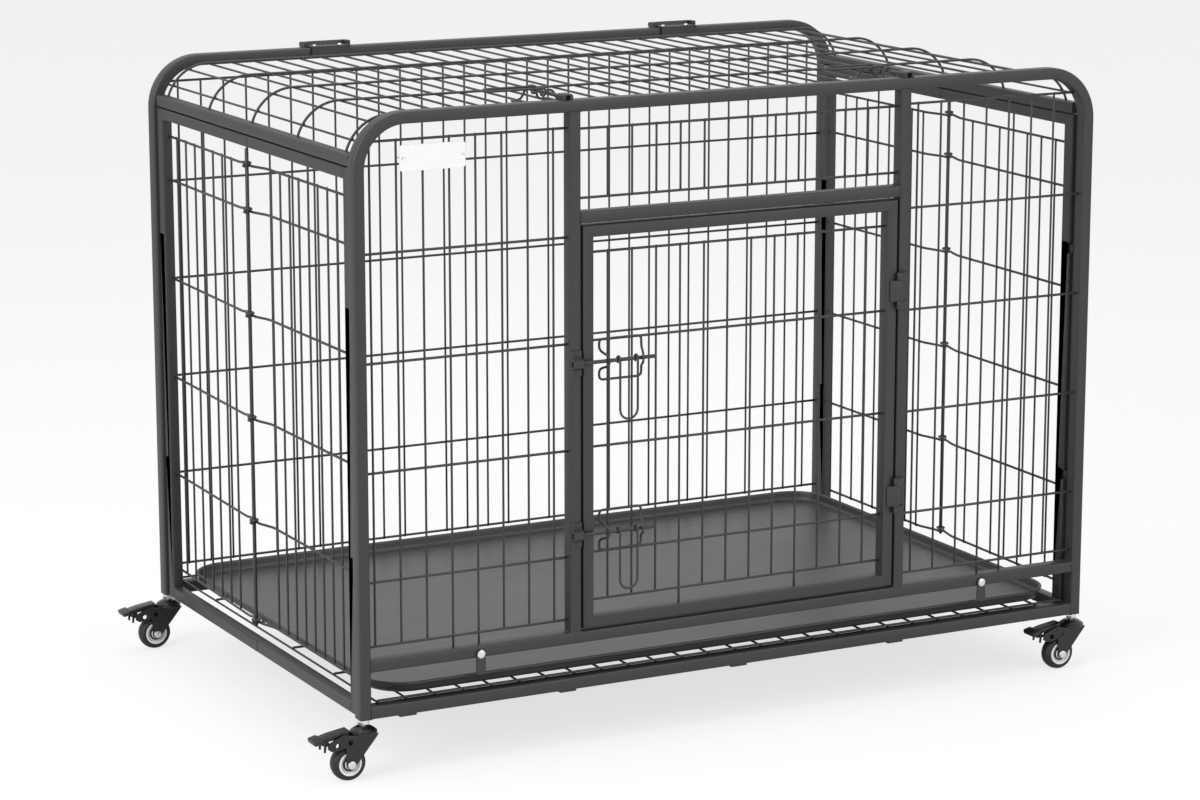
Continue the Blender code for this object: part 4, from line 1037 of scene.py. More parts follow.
@dataclass
class Door:
    """The door's frame, grid, guides and moving knuckles."""

    size: DoorSize = DOOR

    def frame(self) -> list[Skin]:
        """Four tubes with mitred corners, the moving knuckles, and a fine seam at each mitre."""
        d, half = self.size, FRAME.tube / 2
        corners = [(d.left + half, d.bottom + half), (d.right - half, d.bottom + half),
                   (d.right - half, d.top - half), (d.left + half, d.top - half)]
        path = np.array([(x, -FRAME.frame_y, z) for x, z in corners])
        section = rounded_section(FRAME.tube, FRAME.depth, FRAME.edge)
        made = [swept(path, section, ACROSS, closed=True)]
        for level in d.hinge_levels:
            made += d.knuckle(-1, level - d.door_knuckle, level + d.door_knuckle)
        for (x, z), (ax, az) in zip(corners, ((-1, -1), (1, -1), (1, 1), (-1, 1))):
            x0, z0 = x - ax * half * 0.94, z - az * half * 0.94
            x1, z1 = x + ax * half * 0.8, z + az * half * 0.8
            made += [rod((x0, y, z0), (x1, y, z1), 0.00045, 6)
                     for y in (-FRAME.half_depth + 0.0001, -FRAME.inner_y - 0.0001)]
        return made

    def bars(self) -> list[float]:
        """Where the door's uprights stand."""
        d = self.size
        left, right = d.left + FRAME.tube, d.right - FRAME.tube
        first = (left + right - d.pitch * (d.bars - 1)) / 2
        return [first + d.pitch * i for i in range(d.bars)]

    def wires(self) -> list[Skin]:
        """The grid, and the two guide loops that hold the bolts."""
        d = self.size
        left, right = d.left + FRAME.tube - WIRE_LAP, d.right - FRAME.tube + WIRE_LAP
        foot = d.bottom + FRAME.tube - WIRE_LAP
        upright = [(x, foot if i in (3, 8) else d.levels[-1] - TAIL, d.levels[0] + TAIL)
                   for i, x in enumerate(self.bars())]
        made = WirePanel([(z, left, right) for z in d.levels], upright, front_place).skins()
        return made + [self.guide(level) for level in d.bolt_levels]

    def guide(self, level: float) -> Skin:
        """A closed loop of wire, pinched over the bolt on both sides."""
        path = [(BOLT.guide_x + x, BOLT.crown_y if out else -FRAME.frame_y - 0.0004, level + z)
                for x, z, out in BOLT.guide_corners()]
        return BOLT.guide_wire(path)


@dataclass(frozen=True)
class BoltSize:
    """The slide bolts, their guides and handles."""

    radius: float = 0.0025
    length: float = 0.104
    tip_x: float = -0.2305
    y: float = -0.3478
    guide_x: float = -0.1709
    guide_width: float = 0.060
    guide_height: float = 0.052
    guide_radius: float = 0.0016
    guide_bend: float = 0.0062
    clearance: float = 0.0020  # from a bolt's surface to the middle of the wire that passes it
    pinch: float = 0.006
    handle_width: float = 0.025
    handle_drop: float = 0.076
    handle_radius: float = 0.0015
    eye: float = 0.0044
    lid_x: tuple = (-0.2475, 0.2475)
    lid_z: float = 0.8308
    lid_tip_y: float = -0.3247

    @property
    def crown_y(self) -> float:
        """Where a guide passes in front of its bolt."""
        return self.y - self.radius - self.clearance

    @property
    def handle_x(self) -> float:
        """The middle of a handle along its bolt."""
        return self.guide_x - self.guide_width / 2 + self.pinch + 0.0152 + self.handle_width / 2

    def guide_corners(self) -> list[tuple]:
        """The guide's corners as (along, across, out) places."""
        half, top, bend = self.guide_width / 2, self.guide_height / 2, 0.006
        right = [(half, top, 0), (half, bend * 2, 0), (half - self.pinch, bend * 0.95, 1),
                 (half - self.pinch, -bend * 0.95, 1), (half, -bend * 2, 0), (half, -top, 0)]
        return right + [(-x, -z, out) for x, z, out in right]

    def guide_wire(self, corners: list[tuple]) -> Skin:
        """A guide's loop of wire."""
        return round_wire(rounded_loop(corners, self.guide_bend, 5), self.guide_radius, 10, closed=True)

    def handle_path(self) -> np.ndarray:
        """A hanging U with an eye at each end round its bolt, as (along, out, down) places."""
        hook = arc(0, 0, self.eye, -80, 180, 14)
        near = [(-self.handle_width / 2, u, v) for u, v in hook]
        bow = [(x, -self.eye, y - self.handle_drop + self.handle_width / 2)
               for x, y in arc(0, 0, self.handle_width / 2, 180, 360, 14)]
        far = [(self.handle_width / 2, u, v) for _, u, v in reversed(near)]
        return np.array(near + bow + far)


BOLT = BoltSize()


@dataclass
class SlideBolts:
    """The four slide bolts and their handles, each pair as two lists of skins."""

    size: BoltSize = BOLT

    def door(self, level: float) -> tuple[list[Skin], list[Skin]]:
        """A door bolt and its handle at this height."""
        b = self.size
        bolt = [rod((b.tip_x, b.y, level), (b.tip_x + b.length, b.y, level), b.radius, 16)]
        path = b.handle_path() + np.array([b.handle_x, b.y, level])
        return bolt, [round_wire(path, b.handle_radius, 10)]

    def lid(self, x: float) -> tuple[list[Skin], list[Skin]]:
        """A lid bolt and its handle, which lies towards the left."""
        b = self.size
        bolt = [rod((x, b.lid_tip_y, b.lid_z), (x, b.lid_tip_y + b.length, b.lid_z), b.radius, 16)]
        middle = b.lid_tip_y + b.handle_x - b.tip_x
        path = b.handle_path()
        path = np.stack([x + path[:, 2], middle + path[:, 0], b.lid_z - path[:, 1]], -1)
        return bolt, [round_wire(path, b.handle_radius, 10)]


@dataclass
class EndPanel:
    """One half of an end, made at the right back and turned or mirrored to its own corner."""

    cranked: bool
    size: EndSize = END

    def frame(self) -> list[Skin]:
        """The C of stile and rails, notched round the leg's tabs."""
        e = self.size
        back, foot, rail_top = e.stile_front - e.stile, FRAME.foot, FRAME.rail_top
        notch = e.pivot_y - e.hinge_radius - e.middle_gap
        outline = [(e.middle_gap, foot), (e.stile_front, foot)]
        for level in e.hinge_levels:
            low, high = level - e.hinge_height / 2, level + e.hinge_height / 2
            outline += [(e.stile_front, low), (notch, low), (notch, high), (e.stile_front, high)]
        outline += [(e.stile_front, e.top), (e.middle_gap, e.top), (e.middle_gap, e.top - e.rail),
                    (back, e.top - e.rail), (back, rail_top), (e.middle_gap, rail_top)]
        made = [sheet(outline, e.inside, e.outside, "yz", e.edge, (), 3)]
        for z, width in ((e.top - e.rail / 2, e.rail), ((foot + rail_top) / 2, FRAME.bottom_rail)):
            made += self.mitre(back, z, width)
        return made

    def mitre(self, back: float, z: float, width: float) -> list[Skin]:
        """The weld line where a rail meets the stile, on the inner and outer face."""
        half, y = width / 2 - 0.0022, back + 0.0002
        return [rod((x, y, z - half), (x, y, z + half), 0.0005, 6)
                for x in (self.size.inside + 0.0001, self.size.outside - 0.0001)]

    def level_path(self, z: float) -> np.ndarray:
        """A level wire from the stile to the rod, with an eye round the rod."""
        e = self.size
        eye = e.rod_radius + 0.0004 + WIRE.level
        start = (e.wire_x, e.stile_front - e.stile + WIRE_LAP, z)
        lift, near = (0.0 if self.cranked else e.eye_lift), e.eye_run
        if self.cranked:
            bends = [start, (e.wire_x, e.crank_run + near, z), (e.rod_x - eye, near, z),
                     (e.rod_x - eye, 0.0, z)]
        else:
            slope = (e.rod_x - eye - e.wire_x) / (start[1] - near)
            bends = [start, (e.rod_x - eye - slope * e.crank_run, near + e.crank_run, z),
                     (e.rod_x - eye, near, z + lift), (e.rod_x - eye, 0.0, z + lift)]
        lead = rounded_path(bends, e.bend, 4)
        wrap = [(x, y, z + lift) for x, y in arc(e.rod_x, 0, eye, 180, 430, 14)][1:]
        return np.concatenate([lead, wrap])

    def wires(self) -> list[Skin]:
        """The level wires with their eyes, the uprights and the welds."""
        e = self.size
        stile = e.stile_front - e.stile
        count, pitch = e.cranked if self.cranked else e.straight
        made = [round_wire(self.level_path(z), WIRE.level) for z in e.levels]
        reach = e.rod_x - e.rod_radius - WIRE.level - e.wire_x
        slope = 0.0 if self.cranked else reach / (stile - 0.010)
        centres = []
        for i in range(count):
            y = stile - e.first_bar - pitch * i
            x = e.wire_x - WIRE.layer + slope * (stile - y)
            high = e.top - e.rail + WIRE_LAP if i == count // 2 else e.levels[0] + TAIL
            made.append(rod((x, y, e.levels[-1] - TAIL), (x, y, high), WIRE.upright))
            centres += [(x + WIRE.layer / 2, y, z) for z in e.levels]
        made.append(blobs(np.array(centres), WELD))
        return made


@dataclass
class Lid:
    """The lid: end rails, bent wires, guides and hinge leaves."""

    rail_low: float = 0.762
    rail: float = 0.015
    half: float = 0.3205
    wire_z: float = 0.8195
    bend: float = 0.060
    long: tuple = (-0.297, -0.148, 0.0, 0.148, 0.297)
    pitch: float = 0.033
    on_flat: int = 14
    on_bend: int = 2
    hinge_x: float = 0.275
    leaf_width: float = 0.057
    knuckle: float = 0.004
    bore: float = 0.00245
    lug: tuple = (0.0033, 0.003)  # from a leaf's end to a lug's middle, and half the lug's width
    axis: tuple = (0.3493, 0.8310)

    @property
    def arc_x(self) -> float:
        """Where the flat top starts to bend down."""
        return END.pivot_x + 0.002 - self.bend

    def rails(self, side: int) -> list[Skin]:
        """An end rail with closed ends."""
        x, z = side * END.pivot_x, self.rail_low + self.rail / 2
        path = np.array([(x, -self.half, z), (x, self.half, z)])
        return [swept(path, rounded_section(0.015, self.rail, 0.0022), (0, 0, 1))]

    def bend_point(self, angle: float, side: int, y: float, drop: float) -> tuple:
        """A point on the bent end: angle 0 is the flat top and 90 upright."""
        a, r = math.radians(angle), self.bend - drop
        return (side * (self.arc_x + r * math.sin(a)), y, self.wire_z - self.bend + r * math.cos(a))

    def wires(self) -> list[Skin]:
        """Lengthwise wires that bend down to the rails, cross wires under them, and the guides."""
        foot = self.rail_low + self.rail - 0.0004
        last = math.degrees(math.acos((foot - self.wire_z + self.bend) / self.bend))
        made, crossings = [], []
        for y in self.long:
            left = [self.bend_point(a, -1, y, 0) for a in np.linspace(last, 0, 15)]
            right = [self.bend_point(a, 1, y, 0) for a in np.linspace(0, last, 15)]
            made.append(round_wire(np.array(left + right), WIRE.level))
        outermost = self.on_flat + self.on_bend
        for i in range(-outermost, outermost + 1):
            side, along = (-1 if i < 0 else 1), abs(i) * self.pitch
            if along <= self.arc_x:
                x, z = side * along, self.wire_z - WIRE.layer
            else:
                angle = math.degrees((along - self.arc_x) / self.bend)
                x, _, z = self.bend_point(angle, side, 0, WIRE.layer)
            made.append(rod((x, -self.half, z), (x, self.half, z), WIRE.upright))
            crossings += [(x, y, z + WIRE.layer / 2) for y in self.long]
        made.append(blobs(np.array(crossings), WELD))
        feet = [self.bend_point(last, side, y, 0) for side in (-1, 1) for y in self.long]
        made.append(blobs(np.array(feet), (0.0030, 0.0030, 0.0016)))
        return made + [self.guide(x) for x in BOLT.lid_x]

    def guide(self, x: float) -> Skin:
        """A loop like the door's, laid flat over the lid's bolt."""
        crown = BOLT.lid_z + BOLT.radius + BOLT.clearance
        middle = BOLT.lid_tip_y + BOLT.guide_x - BOLT.tip_x
        path = [(x - across, middle + along, crown if out else self.wire_z - WIRE.layer)
                for along, across, out in BOLT.guide_corners()]
        return BOLT.guide_wire(path)

    def leaf(self, side: int) -> list[Skin]:
        """A hinge leaf: a lip behind the lid's wires, a plate over the back rail and a rolled knuckle."""
        y, z = self.axis
        low, high = FRAME.top + 0.0003, FRAME.top + 0.0023
        lip = self.half + 0.0003
        knuckle = arc(y, z, self.knuckle, -150, 120, 18)
        outline = [(lip, self.wire_z - 0.0028), (lip + 0.002, self.wire_z - 0.0028), (lip + 0.002, low)]
        outline += knuckle + [(y - self.knuckle, high), (lip, high)]
        bore = circle(y, z, self.bore)
        start = side * self.hinge_x - self.leaf_width / 2
        return [sheet(outline, start, start + self.leaf_width, "yz", 0.0004, (bore,))]

    def screws(self, side: int) -> list[Skin]:
        """Two pan-head rivets through a leaf."""
        return [turned([(0.0031, 0), (0.0029, 0.0008), (0.0016, 0.0014)],
                       (side * self.hinge_x + offset, FRAME.frame_y + 0.001, FRAME.top + 0.0022), "Z", 18)
                for offset in (-0.019, 0.019)]

    def back_lugs(self) -> list[Skin]:
        """The fixed knuckles on the back rail, one at each end of each leaf."""
        (y, z), r, (gap, half) = self.axis, self.knuckle, self.lug
        root, face, under = FRAME.half_depth - 0.010, FRAME.half_depth - 0.0006, FRAME.top - 0.0006
        outline = arc(y, z, r, -90, 90, 12)
        outline += [(root, z + r), (root, under), (face, under), (face, z - r)]
        middles = [side * self.hinge_x + end * (self.leaf_width / 2 + gap)
                   for side in (-1, 1) for end in (-1, 1)]
        return [sheet(outline, at - half, at + half, "yz", 0.0004) for at in middles]


@dataclass
class Tray:
    """The pressed tray with a rolled rim."""

    size: TraySize = TRAY

    def ring(self, inward: float, height: float) -> np.ndarray:
        """The tray's rounded outline, moved inwards, at a height."""
        t = self.size
        radius = max(t.corner - inward, 0.006)
        x = t.half_length - inward - radius
        front, back = inward + radius - t.front, t.back - inward - radius
        flat = arc(x, back, radius, 0, 90, 12) + arc(-x, back, radius, 90, 180, 12)
        flat += arc(-x, front, radius, 180, 270, 12) + arc(x, front, radius, 270, 360, 12)
        return np.array([(a, b, height) for a, b in flat])

    def skins(self) -> list[Skin]:
        """The whole section from the middle of the floor, up the wall, round the rim and back below."""
        t = self.size
        top, floor = t.foot + t.height, t.foot + t.thickness
        upper = [(0.12, floor), (0.030, floor), (0.0095, floor), (0.0072, floor + 0.0004),
                 (0.0056, floor + 0.0018), (0.0050, floor + 0.0045), (0.0044, top - 0.0028),
                 (0.0040, top - 0.0012), (0.0030, top - 0.0003), (0.0019, top), (0.0007, top - 0.0006),
                 (0.0, top - 0.0019), (0.0005, top - 0.0031), (0.0016, top - 0.0037),
                 (0.0028, top - 0.0034)]
        lower = [(0.0038, top - 0.0046), (0.0049, t.foot + 0.0040), (0.0060, t.foot + 0.0014),
                 (0.0080, t.foot + 0.0002), (0.0100, t.foot), (0.12, t.foot)]
        return [ring_skin(np.array([self.ring(i, z) for i, z in upper + lower]))]


@dataclass
class FloorGrid:
    """The wire floor under the tray: long wires over cross bars."""

    half: float = 0.5115
    long: tuple = (-0.335, -0.201, -0.067, 0.067, 0.201, 0.335)
    bars: int = 27
    z: float = 0.0936

    def skins(self) -> list[Skin]:
        """The wires and their welds."""
        top = self.z + WIRE.layer
        made = [rod((-self.half, y, top), (self.half, y, top), WIRE.level - 0.0001) for y in self.long]
        across = np.linspace(-self.half + TAIL, self.half - TAIL, self.bars)
        front, back = self.long[0] - 0.0015, self.long[-1] + 0.0015
        made += [rod((x, front, self.z), (x, back, self.z), WIRE.upright) for x in across]
        crossings = [(x, y, self.z + WIRE.layer / 2) for x in across for y in self.long]
        return made + [blobs(np.array(crossings), (0.002, 0.002, 0.0018))]


@dataclass
class TrayLatch:
    """A teardrop tab that swings on a rivet in the lower rail."""

    side: int
    x: float = 0.3735
    z: float = 0.1405
    y: float = -0.3463

    def tab(self) -> list[Skin]:
        """The tab, with the hole that its rivet goes through."""
        foot, wide = 0.1138, 0.007
        at = self.side * self.x
        outline = arc(at, foot + wide, wide, 180, 360, 16) + arc(at, self.z, 0.006, 0, 180, 14)
        hole = circle(at, self.z, 0.0028)
        return [sheet(outline, self.y - 0.001, self.y + 0.001, "xz", 0.0005, (hole,))]

    def rivet(self) -> list[Skin]:
        """The rivet's shank and domed head."""
        at, face = self.side * self.x, -FRAME.half_depth
        head = [(0.0025, 0.0005), (0.0025, -0.0026), (0.0055, -0.0026), (0.0053, -0.0034),
                (0.0040, -0.0043), (0.0018, -0.00455)]
        return [turned(head, (at, face, self.z), "Y", 24)]


@dataclass
class NamePlate:
    """The bare plate that hangs on the left grid, with a wire tie at each end."""

    low: tuple = (-0.4745, 0.7548)
    high: tuple = (-0.3860, 0.7868)
    y: float = -0.3392
    half: float = 0.0007
    hole_inset: float = 0.0045

    @property
    def holes(self) -> tuple:
        """Where its two holes are, along the crate."""
        return (self.low[0] + self.hole_inset, self.high[0] - self.hole_inset)

    def plate(self) -> list[Skin]:
        """A thin plate with rounded corners."""
        (x0, z0), (x1, z1) = self.low, self.high
        middle = ((x0 + x1) / 2, (z0 + z1) / 2)
        outline = rounded_section(x1 - x0, z1 - z0, 0.004, 4) + middle
        holes = tuple(circle(x, middle[1], 0.0018, 12) for x in self.holes)
        low, high = self.y - self.half, self.y + self.half
        return [sheet(outline, low, high, "xz", 0.0003, holes)]

    def ties(self) -> list[Skin]:
        """Thin wire through each hole and round the grid behind it."""
        made, z = [], (self.low[1] + self.high[1]) / 2
        for x in self.holes:
            loop = [(x - 0.0035, self.y - 0.0011, z), (x + 0.0032, self.y - 0.0011, z),
                    (x + 0.0032, self.y + 0.0095, z), (x - 0.0035, self.y + 0.0095, z)]
            made.append(round_wire(rounded_loop(loop, 0.002, 4), 0.0005, 8, closed=True))
        return made


@dataclass
class Caster:
    """One swivel caster: head and fork, tyre, hub, axle and brake pedal, trailing to the left."""

    x: float
    y: float
    trail: float = 0.022
    wheel: float = 0.0225
    tread: float = 0.018
    hub_radius: float = 0.0155

    @property
    def axle(self) -> tuple:
        """The wheel's middle."""
        return (self.x - self.trail, self.y, self.wheel)

    @property
    def hinge(self) -> tuple:
        """The pin that the pedal turns on, along the crate and up."""
        return (self.x - 0.030, 0.0583)

    def cheeks(self, outline: list[tuple], inner: float, outer: float, edge: float,
               holes: tuple) -> list[Skin]:
        """The same plate on both sides of the wheel."""
        return [sheet(outline, self.y + low, self.y + high, "xz", edge, holes)
                for low, high in ((-outer, -inner), (inner, outer))]

    def fork(self) -> list[Skin]:
        """Swivel head with its two races, crown, and cheeks with their sight holes."""
        x, y = self.x, self.y
        head = [(0.0048, 0.0092), (0.0088, 0.0092), (0.0104, 0.0086), (0.0132, 0.0068), (0.0150, 0.0056),
                (0.0158, 0.0050), (0.0158, 0.0044), (0.0170, 0.0038), (0.0170, 0.0010), (0.0162, 0.0),
                (0.0048, 0.0)]
        made = [turned(head, (x, y, 0.0573), "Z", 40, loop=True)]
        ax, _, az = self.axle
        outline = arc(ax, az, 0.0065, 180, 325, 14)
        outline += [(x + 0.0130, 0.0545), (x + 0.0155, 0.0583), (x - 0.0165, 0.0583), (x - 0.0310, 0.0622),
                    (x - 0.0500, 0.0545), (x - 0.0528, 0.0515), (x - 0.0530, 0.0462), (x - 0.0480, 0.0427),
                    (x - 0.0380, 0.0427), (x - 0.0292, 0.0452), (ax - 0.0066, 0.0425)]
        holes = tuple(circle(x + a, h, 0.0033) for a, h in ((-0.039, 0.0490), (-0.0225, 0.0505)))
        made += self.cheeks(outline, 0.0105, 0.0125, 0.0005, holes)
        made.append(sheet([(x - 0.0150, y - 0.0123), (x + 0.0146, y - 0.0123), (x + 0.0146, y + 0.0123),
                           (x - 0.0150, y + 0.0123)], 0.0560, 0.0580, "xy", 0.0006))
        pin = [(0.0020, -0.0131), (0.0032, -0.0131), (0.0032, -0.0126), (0.0020, -0.0126), (0.0020, 0.0126),
               (0.0032, 0.0126), (0.0032, 0.0131), (0.0020, 0.0131)]
        along, up = self.hinge
        return made + [turned(pin, (along, y, up), "Y", 16)]

    def tyre(self) -> list[Skin]:
        """The tyre, with a softly domed tread between two moulding lines."""
        half, r = self.tread / 2, self.wheel
        side = [(self.hub_radius, half), (r - 0.0062, half), (r - 0.0045, half - 0.0002),
                (r - 0.0024, half - 0.0012), (r - 0.0010, half - 0.0030), (r - 0.0003, half - 0.0058)]
        profile = side + [(r, 0.0)] + mirrored(side)
        return [turned(profile, self.axle, "Y", 56, loop=True)]

    def hub(self) -> list[Skin]:
        """The white ring: a raised rim, a dish and a boss."""
        half, rim = self.tread / 2, self.hub_radius - 0.0003
        side = [(0.0035, half + 0.0004), (0.0064, half + 0.0004), (0.0072, half - 0.0004),
                (0.0078, half - 0.0026), (rim - 0.0040, half - 0.0026), (rim - 0.0030, half - 0.0016),
                (rim - 0.0022, half + 0.0001), (rim, half + 0.0001)]
        profile = side + mirrored(side)
        return [turned(profile, self.axle, "Y", 48, loop=True)]

    def seal(self) -> list[Skin]:
        """The dark dust caps round the axle."""
        made = []
        for hand in (-1, 1):
            profile = [(0.0036, 0.0), (0.0098, 0.0), (0.0094, 0.0006), (0.0062, 0.0010), (0.0036, 0.0010)]
            profile = [(r, hand * (self.tread / 2 - 0.0012 + h)) for r, h in profile]
            made.append(turned(profile, self.axle, "Y", 36, loop=True))
        return made

    def pin(self) -> list[Skin]:
        """The axle, with a domed head on one side and a nut on the other."""
        ax, ay, az = self.axle
        head = [(0.0028, 0.0), (0.0028, 0.0128), (0.0055, 0.0128), (0.0055, 0.0143), (0.0049, 0.0154),
                (0.0030, 0.0160), (0.0012, 0.0160)]
        front = turned([(r, -h) for r, h in head], self.axle, "Y", 28)
        back = turned([(0.0028, 0.0), (0.0028, 0.0158), (0.0022, 0.0160)], self.axle, "Y", 20)
        nut = sheet(circle(ax, az, 0.0055, 6, 15), ay + 0.0128, ay + 0.0156, "xz", 0.0005)
        return [front, back, nut]

    def pedal(self) -> list[Skin]:
        """The foot lever: a broad ribbed tip, a bent plate, and two ears on the fork's pin."""
        x, y, (along, up) = self.x, self.y, self.hinge
        top = [(x - 0.0225, 0.0660), (x - 0.0480, 0.0620), (x - 0.0700, 0.0565), (x - 0.0706, 0.0545),
               (x - 0.0560, 0.0550), (x - 0.0466, 0.0592), (x - 0.0225, 0.0630)]
        made = [sheet(top, y - 0.0088, y + 0.0088, "xz", 0.0006)]
        ear = arc(along, up, 0.0038, 190, 350, 10)
        ear += [(x - 0.0235, 0.0640), (x - 0.0560, 0.0575), (x - 0.0572, 0.0420),
                (x - 0.0545, 0.0412), (x - 0.0525, 0.0550)]
        hole = circle(along, up, 0.0022, 12)
        made += self.cheeks(ear, 0.0070, 0.0088, 0.0004, (hole,))
        pad = rounded_section(0.0125, 0.0255, 0.003, 4) + np.array([x - 0.0646, y])
        slant = Matrix.Rotation(-math.atan2(0.0055, 0.022), 4, "Y")
        tilt = Matrix.Translation((x - 0.064, y, 0.0572)) @ slant
        tilt = tilt @ Matrix.Translation((0.064 - x, -y, -0.0572))
        made.append(sheet(pad, 0.0538, 0.0592, "xy", 0.0009).turned(tilt))
        for i in range(4):
            at = x - 0.0690 + 0.0029 * i
            made.append(rod((at, y - 0.0105, 0.0592), (at, y + 0.0105, 0.0592), 0.0006, 8).turned(tilt))
        return made


class Crate:
    """Puts the whole crate together."""

    side_pitch = 0.0354
    back_pitch = 0.0332
    back_bars = 31
    upper_levels = (0.791, 0.7045)
    door_pin = (0.0245, 0.0024)  # half its length, and its radius
    lid_pin = (0.0280, 0.0022)

    def __init__(self, shop: Workshop) -> None:
        self.shop = shop

    def build(self) -> None:
        """Makes every piece."""
        self.front()
        self.back()
        self.door()
        self.ends()
        self.lid()
        self.base()
        self.casters()

    def shown(self, node: str, look: str, skins: list[Skin], finish: Finish, body: str) -> None:
        """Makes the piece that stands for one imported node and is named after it."""
        self.shop.piece(f"{node}_{look}", skins, finish, body, node)

    def stems(self, body: str, y: float) -> None:
        """The casters' nuts and stems under one frame."""
        skins = [skin for _, side in SIDES for skin in NutStack(side * FRAME.leg_x, y).skins()]
        self.shop.piece(f"{body}_stems", skins, Finish.ZINC, body)

    def bolt(self, place: str, name: str, pair: tuple[list[Skin], list[Skin]]) -> None:
        """A slide bolt and its handle, each on its own body."""
        for kind, skins in zip(("bolt", "handle"), pair):
            node = f"{place}_{kind}_{name}"
            self.shown(node, "round", skins, Finish.WIRE, node)

    def front(self) -> None:
        """The front frame, its grids and fittings."""
        piece, made, plate = self.shop.piece, FrontFrame(), NamePlate()
        tubes = made.tubes() + made.feet() + made.door_lugs()
        piece("front_tubes", tubes, Finish.COAT, "front", "front_frame")
        keepers = [skin for level in DOOR.bolt_levels for skin in made.keeper(FRAME.left_post, level)]
        keepers += [made.lid_keeper(x) for x in BOLT.lid_x]
        piece("bolt_keepers", keepers, Finish.COAT, "front")
        self.front_grids()
        self.stems("front", -FRAME.frame_y)
        rivets = [skin for _, side in SIDES for skin in TrayLatch(side).rivet()]
        piece("tray_latch_rivets", rivets, Finish.ZINC, "front")
        piece("name_plate", plate.plate(), Finish.PLATE, "front")
        piece("name_plate_ties", plate.ties(), Finish.ZINC, "front")
        x, y, (half, radius) = DOOR.axis_x, DOOR.axis_y, self.door_pin
        for name, level in zip(HEIGHTS, DOOR.hinge_levels):
            pin = rod((x, y, level - half), (x, y, level + half), radius, 16)
            self.shown(f"door_hinge_pin_{name}", "round", [pin], Finish.COAT, "front")

    def front_grid(self, name: str, level: list[tuple], upright: list[tuple]) -> None:
        """One grid in the front frame."""
        skins = WirePanel(level, upright, front_place).skins()
        self.shown(name, "wires", skins, Finish.WIRE, "front")

    def front_grids(self) -> None:
        """The three grids in the front frame."""
        half = FRAME.tube / 2
        for name, side, count, edge in (("front_left_mesh", -1, 8, FRAME.left_post - half),
                                        ("front_right_mesh", 1, 7, FRAME.right_post + half)):
            level = [(z, side * (FRAME.corner_width(z) + WIRE_LAP), edge - side * WIRE_LAP) for z in LEVELS]
            upright = [upright_wire(edge + side * self.side_pitch * (i + 0.5),
                                    FRAME.lower_top - WIRE_LAP if i in (3, 4) else LEVELS[-1] - TAIL)
                       for i in range(count)]
            self.front_grid(name, level, upright)
        left, right = FRAME.left_post + half, FRAME.right_post - half
        high, low = self.upper_levels
        first = (left + right - DOOR.pitch * (DOOR.bars - 1)) / 2
        upright = [(first + DOOR.pitch * i, low - TAIL, high + TAIL) for i in range(DOOR.bars)]
        level = [(z, left - WIRE_LAP, right + WIRE_LAP) for z in (high, low)]
        self.front_grid("front_upper_mesh", level, upright)

    def back(self) -> None:
        """The back frame, its grid and the fixed hinge knuckles."""
        tubes = TubeFrame(1).legs_and_base() + Lid().back_lugs()
        self.shop.piece("back_tubes", tubes, Finish.COAT, "back", "back_frame")
        levels = (*LEVELS[:-1], END.levels[-1])
        level = [(z, -FRAME.corner_width(z) - WIRE_LAP, FRAME.corner_width(z) + WIRE_LAP) for z in levels]
        upright = [upright_wire(self.back_pitch * (i - self.back_bars // 2), levels[-1] - TAIL)
                   for i in range(self.back_bars)]
        grid = WirePanel(level, upright, back_place)
        self.shown("back_mesh", "wires", grid.skins(), Finish.WIRE, "back")
        self.stems("back", FRAME.frame_y)

    def door(self) -> None:
        """The door with its bolts and handles."""
        door, bolts = Door(), SlideBolts()
        self.shop.piece("door_tubes", door.frame(), Finish.COAT, "door", "door_frame")
        self.shop.piece("door_wires", door.wires(), Finish.WIRE, "door", "door_mesh")
        for name, level in zip(HEIGHTS, DOOR.bolt_levels):
            self.bolt("door", name, bolts.door(level))

    def ends(self) -> None:
        """The four half panels, the right back and left front ones cranked, and the rods."""
        places = (("right_back", True, (1, 1, 1)), ("left_front", True, (-1, -1, 1)),
                  ("right_front", False, (1, -1, 1)), ("left_back", False, (-1, 1, 1)))
        for corner, cranked, flip in places:
            panel, body = EndPanel(cranked), f"{corner}_panel"
            for look, packed, skins, finish in (("tubes", "frame", panel.frame(), Finish.COAT),
                                                ("wires", "mesh", panel.wires(), Finish.WIRE)):
                moved = [skin.scaled(*flip) for skin in skins]
                self.shop.piece(f"{body}_{look}", moved, finish, body, f"{body}_{packed}")
        low, high = END.levels[-1] - END.rod_tail, END.top - END.rail
        for name, side in SIDES:
            x = side * END.rod_x
            skins = [rod((x, 0, low), (x, 0, high), END.rod_radius, 16)]
            self.shown(f"{name}_fold_rod", "round", skins, Finish.WIRE, f"{name}_front_panel")

    def lid(self) -> None:
        """The lid with its hinges, bolts and handles."""
        lid, bolts = Lid(), SlideBolts()
        (y, z), (half, radius) = lid.axis, self.lid_pin
        self.shop.piece("lid_wires", lid.wires(), Finish.WIRE, "lid", "lid_mesh")
        for (name, side), bolt_x in zip(SIDES, BOLT.lid_x):
            self.shown(f"lid_rail_{name}", "tube", lid.rails(side), Finish.COAT, "lid")
            self.shown(f"lid_leaf_{name}", "plate", lid.leaf(side), Finish.COAT, "lid")
            self.shop.piece(f"lid_leaf_{name}_rivets", lid.screws(side), Finish.ZINC, "lid")
            x = side * lid.hinge_x
            skins = [rod((x - half, y, z), (x + half, y, z), radius, 16)]
            self.shown(f"lid_hinge_pin_{name}", "round", skins, Finish.ZINC, "lid_hinge")
            self.bolt("lid", name, bolts.lid(bolt_x))

